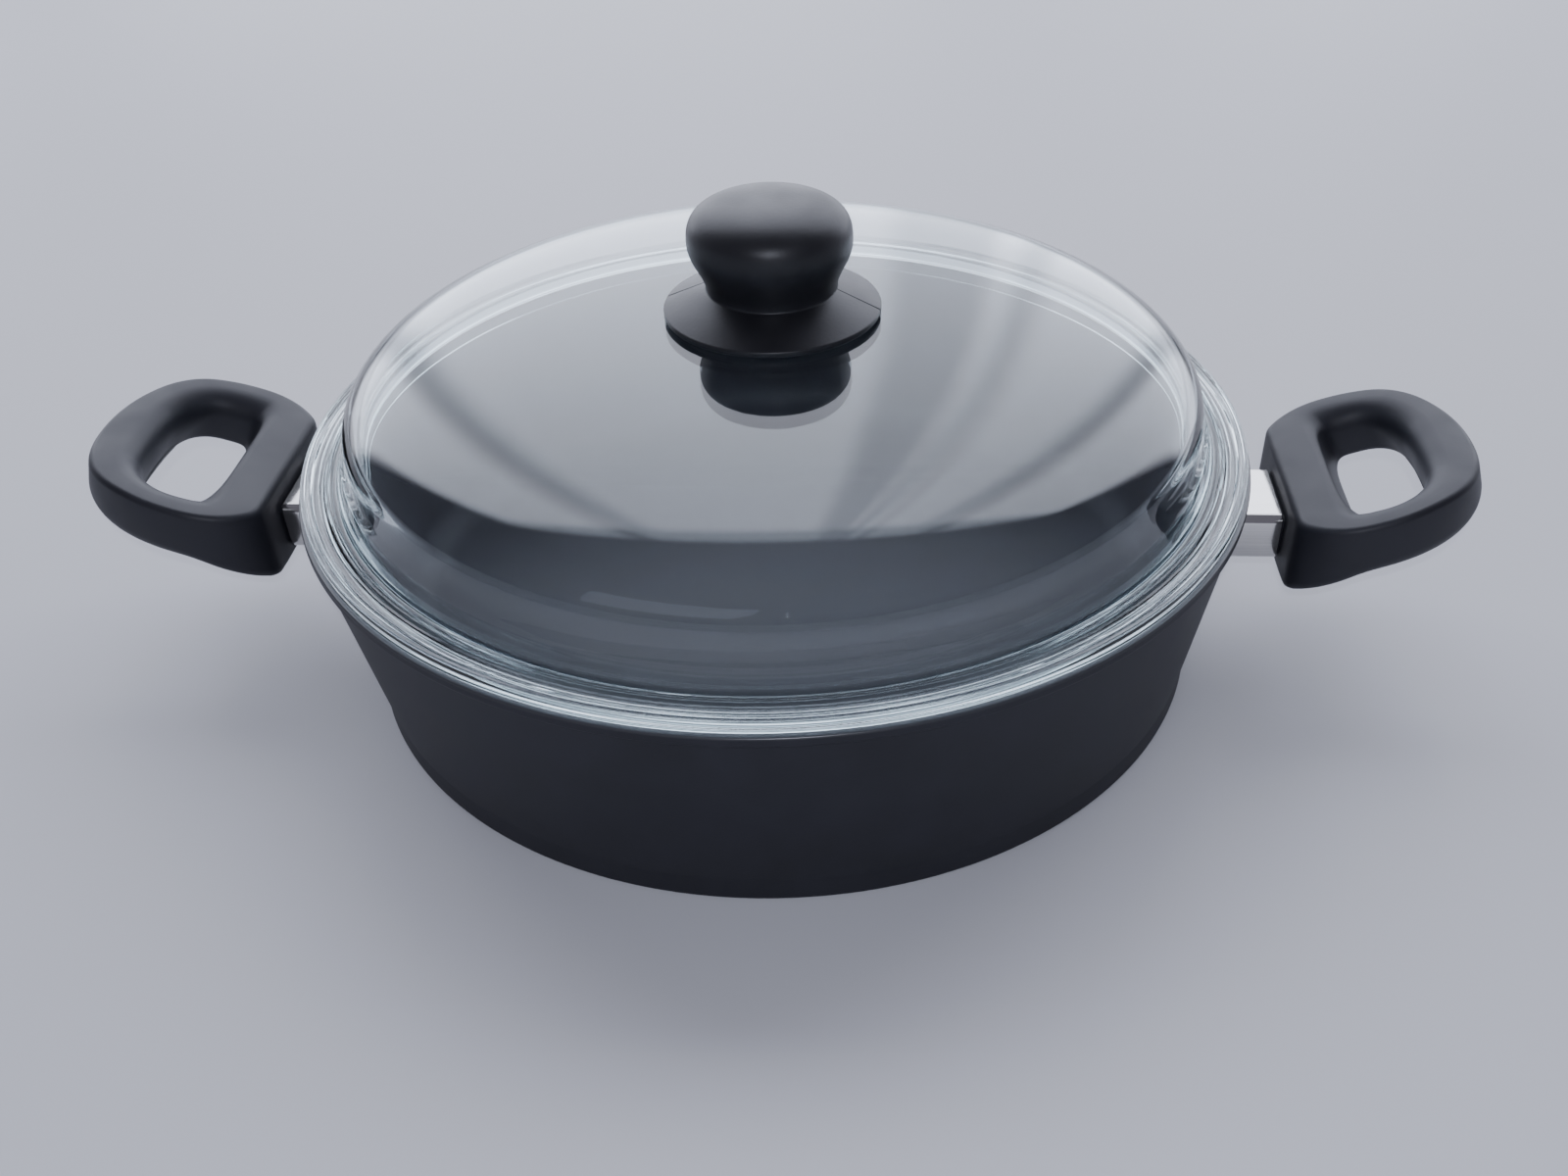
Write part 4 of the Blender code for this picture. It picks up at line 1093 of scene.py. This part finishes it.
class SERVINGPAN_OT_stage(bpy.types.Operator):
    """Set the floor, the lights and the camera"""

    bl_idname = "serving_pan.stage"
    bl_label = "Stage"

    def execute(self, context):
        plan = context.scene.serving_pan
        self.floor(plan.finish.floor)
        self.camera(context.scene, plan.stage)
        self.lights(context.scene, plan.stage)
        return {"FINISHED"}

    def floor(self, colour_value):
        """A pale floor that sweeps up far behind the pan."""
        steps = 16
        profile = [(-4.0, 0), (2.0, 0)]
        for turn in (QUARTER_TURN * step / steps for step in range(1, steps + 1)):
            profile.append((2.0 + math.sin(turn), 1.0 - math.cos(turn)))
        profile.append((3.0, 3.5))
        bm = bmesh.new()
        rows = [[bm.verts.new((side, *point)) for side in (-5.0, 5.0)] for point in profile]
        for row, beyond in zip(rows, rows[1:]):
            bm.faces.new([*row, *reversed(beyond)])
        mesh = bpy.data.meshes.new("studio_floor")
        bm.to_mesh(mesh)
        bm.free()
        mesh.shade_smooth()
        floor = new_object("studio_floor", mesh)
        mesh.materials.append(studio_floor(colour_value))

    def camera(self, scene, stage):
        """The camera where the photographer stood."""
        lens = bpy.data.cameras.new("studio_camera")
        lens.sensor_width = 36.0
        lens.lens = stage.focal_length
        lens.clip_start = 0.01
        lens.shift_x = stage.shift_across
        lens.shift_y = stage.shift_up
        scene.camera = new_object("studio_camera", lens)
        tilt = Matrix.Rotation(QUARTER_TURN - stage.camera_pitch, 4, "X")
        aim = about_z(stage.camera_turn) @ tilt @ about_z(stage.camera_roll)
        scene.camera.matrix_world = Matrix.Translation(stage.camera_place) @ aim

    def lights(self, scene, stage):
        """A wide soft light behind like a window, a weak fill and a small camera light."""
        height = 1.45
        size = (4.0, 2.9)
        aim = (0, 0, height)
        window = self.soft_light("window", (0, 1.15, height), aim, size, stage.window_power)
        self.drape(window.data)
        place = (-0.8, -1.6, 1.2)
        fill = self.soft_light("fill", place, (0, 0, 0), (1.4, 1.0), stage.fill_power)
        fill.visible_glossy = False
        place = Vector(stage.camera_place) + Vector((0, -0.01, 0.03))
        self.soft_light("flash", place, (0, 0, 0.06), (0.006, 0.006), stage.flash_power)
        scene.world = bpy.data.worlds.new("studio_air")
        scene.world.use_nodes = True
        nodes = Nodes(scene.world.node_tree)
        air = {"Color": stage.air, "Strength": stage.air_strength}
        nodes.feed(nodes.tree.nodes["Background"], air)

    def soft_light(self, name, place, target, size, power):
        """A rectangular light that faces a target."""
        lamp = bpy.data.lights.new(name, "AREA")
        lamp.shape = "RECTANGLE"
        lamp.size, lamp.size_y = size
        lamp.energy = power
        lamp.color = (0.83, 0.865, 1.0)
        light = new_object(name, lamp)
        aim = (Vector(target) - Vector(place)).to_track_quat("-Z", "Y").to_matrix().to_4x4()
        light.matrix_world = Matrix.Translation(place) @ aim
        light.visible_camera = False
        return light

    def drape(self, lamp):
        """Let a light fade towards its edges and dim along its folds, like a curtain."""
        lamp.use_nodes = True
        nodes = Nodes(lamp.node_tree)
        place = nodes.add("NewGeometry", "Parametric", {})
        across = [(0, 0), (0.1, 0.9), (0.305, 0.95), (0.335, 0.35), (0.365, 0.95)]
        across += [(0.42, 1.0), (0.433, 0.6), (0.445, 1.0), (0.455, 0.6), (0.48, 0.6), (0.495, 1.0)]
        across += [(0.67, 0.95), (0.705, 0.35), (0.74, 0.95), (0.9, 0.9), (1.0, 0)]
        upwards = [(0, 0.2), (0.05, 1.0), (0.86, 1.0), (1.0, 0)]
        levels = {0: 1.0}
        for axis, stops, socket in (("X", across, 6), ("Y", upwards, 7)):
            along = nodes.add("SeparateXYZ", axis, {"Vector": place})
            levels[socket] = nodes.add("ValToRGB", "Color", {"Fac": along})
            ramp = levels[socket].node.color_ramp
            ramp.interpolation = "EASE"
            while len(ramp.elements) < len(stops):
                ramp.elements.new(0.5)
            for mark, (position, level) in zip(ramp.elements, stops):
                mark.position = position
                mark.color = (level, level, level, 1.0)
        both = nodes.add("Mix", 2, levels, data_type="RGBA", blend_type="MULTIPLY")
        nodes.feed(nodes.tree.nodes["Emission"], {"Color": both})


class SERVINGPAN_PT_sidebar(bpy.types.Panel):
    """The pan's pieces and sizes in the sidebar"""

    bl_idname = "SERVINGPAN_PT_sidebar"
    bl_label = "Serving Pan"
    bl_space_type = "VIEW_3D"
    bl_region_type = "UI"
    bl_category = "Serving Pan"

    def draw(self, context):
        layout = self.layout
        plan = context.scene.serving_pan
        for operator in OPERATORS:
            layout.operator(operator.bl_idname)
        for group_name in ServingPan.__annotations__:
            group = getattr(plan, group_name)
            box = layout.box()
            box.label(text=group_name.capitalize())
            for name in group.__annotations__:
                box.prop(group, name)


GROUPS = (PanSizes, SleeveSizes, HandleSizes, LidSizes, KnobSizes, Finishes, StageSizes, ServingPan)
OPERATORS = (
    SERVINGPAN_OT_body,
    SERVINGPAN_OT_sleeves,
    SERVINGPAN_OT_handles,
    SERVINGPAN_OT_handle_screws,
    SERVINGPAN_OT_glass,
    SERVINGPAN_OT_knob,
    SERVINGPAN_OT_fittings,
    SERVINGPAN_OT_stage,
)


def register():
    for cls in (*GROUPS, *OPERATORS, SERVINGPAN_PT_sidebar):
        bpy.utils.register_class(cls)
    bpy.types.Scene.serving_pan = PointerProperty(type=ServingPan)


def unregister():
    del bpy.types.Scene.serving_pan
    for cls in (SERVINGPAN_PT_sidebar, *reversed(OPERATORS), *reversed(GROUPS)):
        bpy.utils.unregister_class(cls)


def main():
    register()
    for operator in OPERATORS:
        group, name = operator.bl_idname.split(".")
        getattr(getattr(bpy.ops, group), name)()


if __name__ == "__main__":
    main()
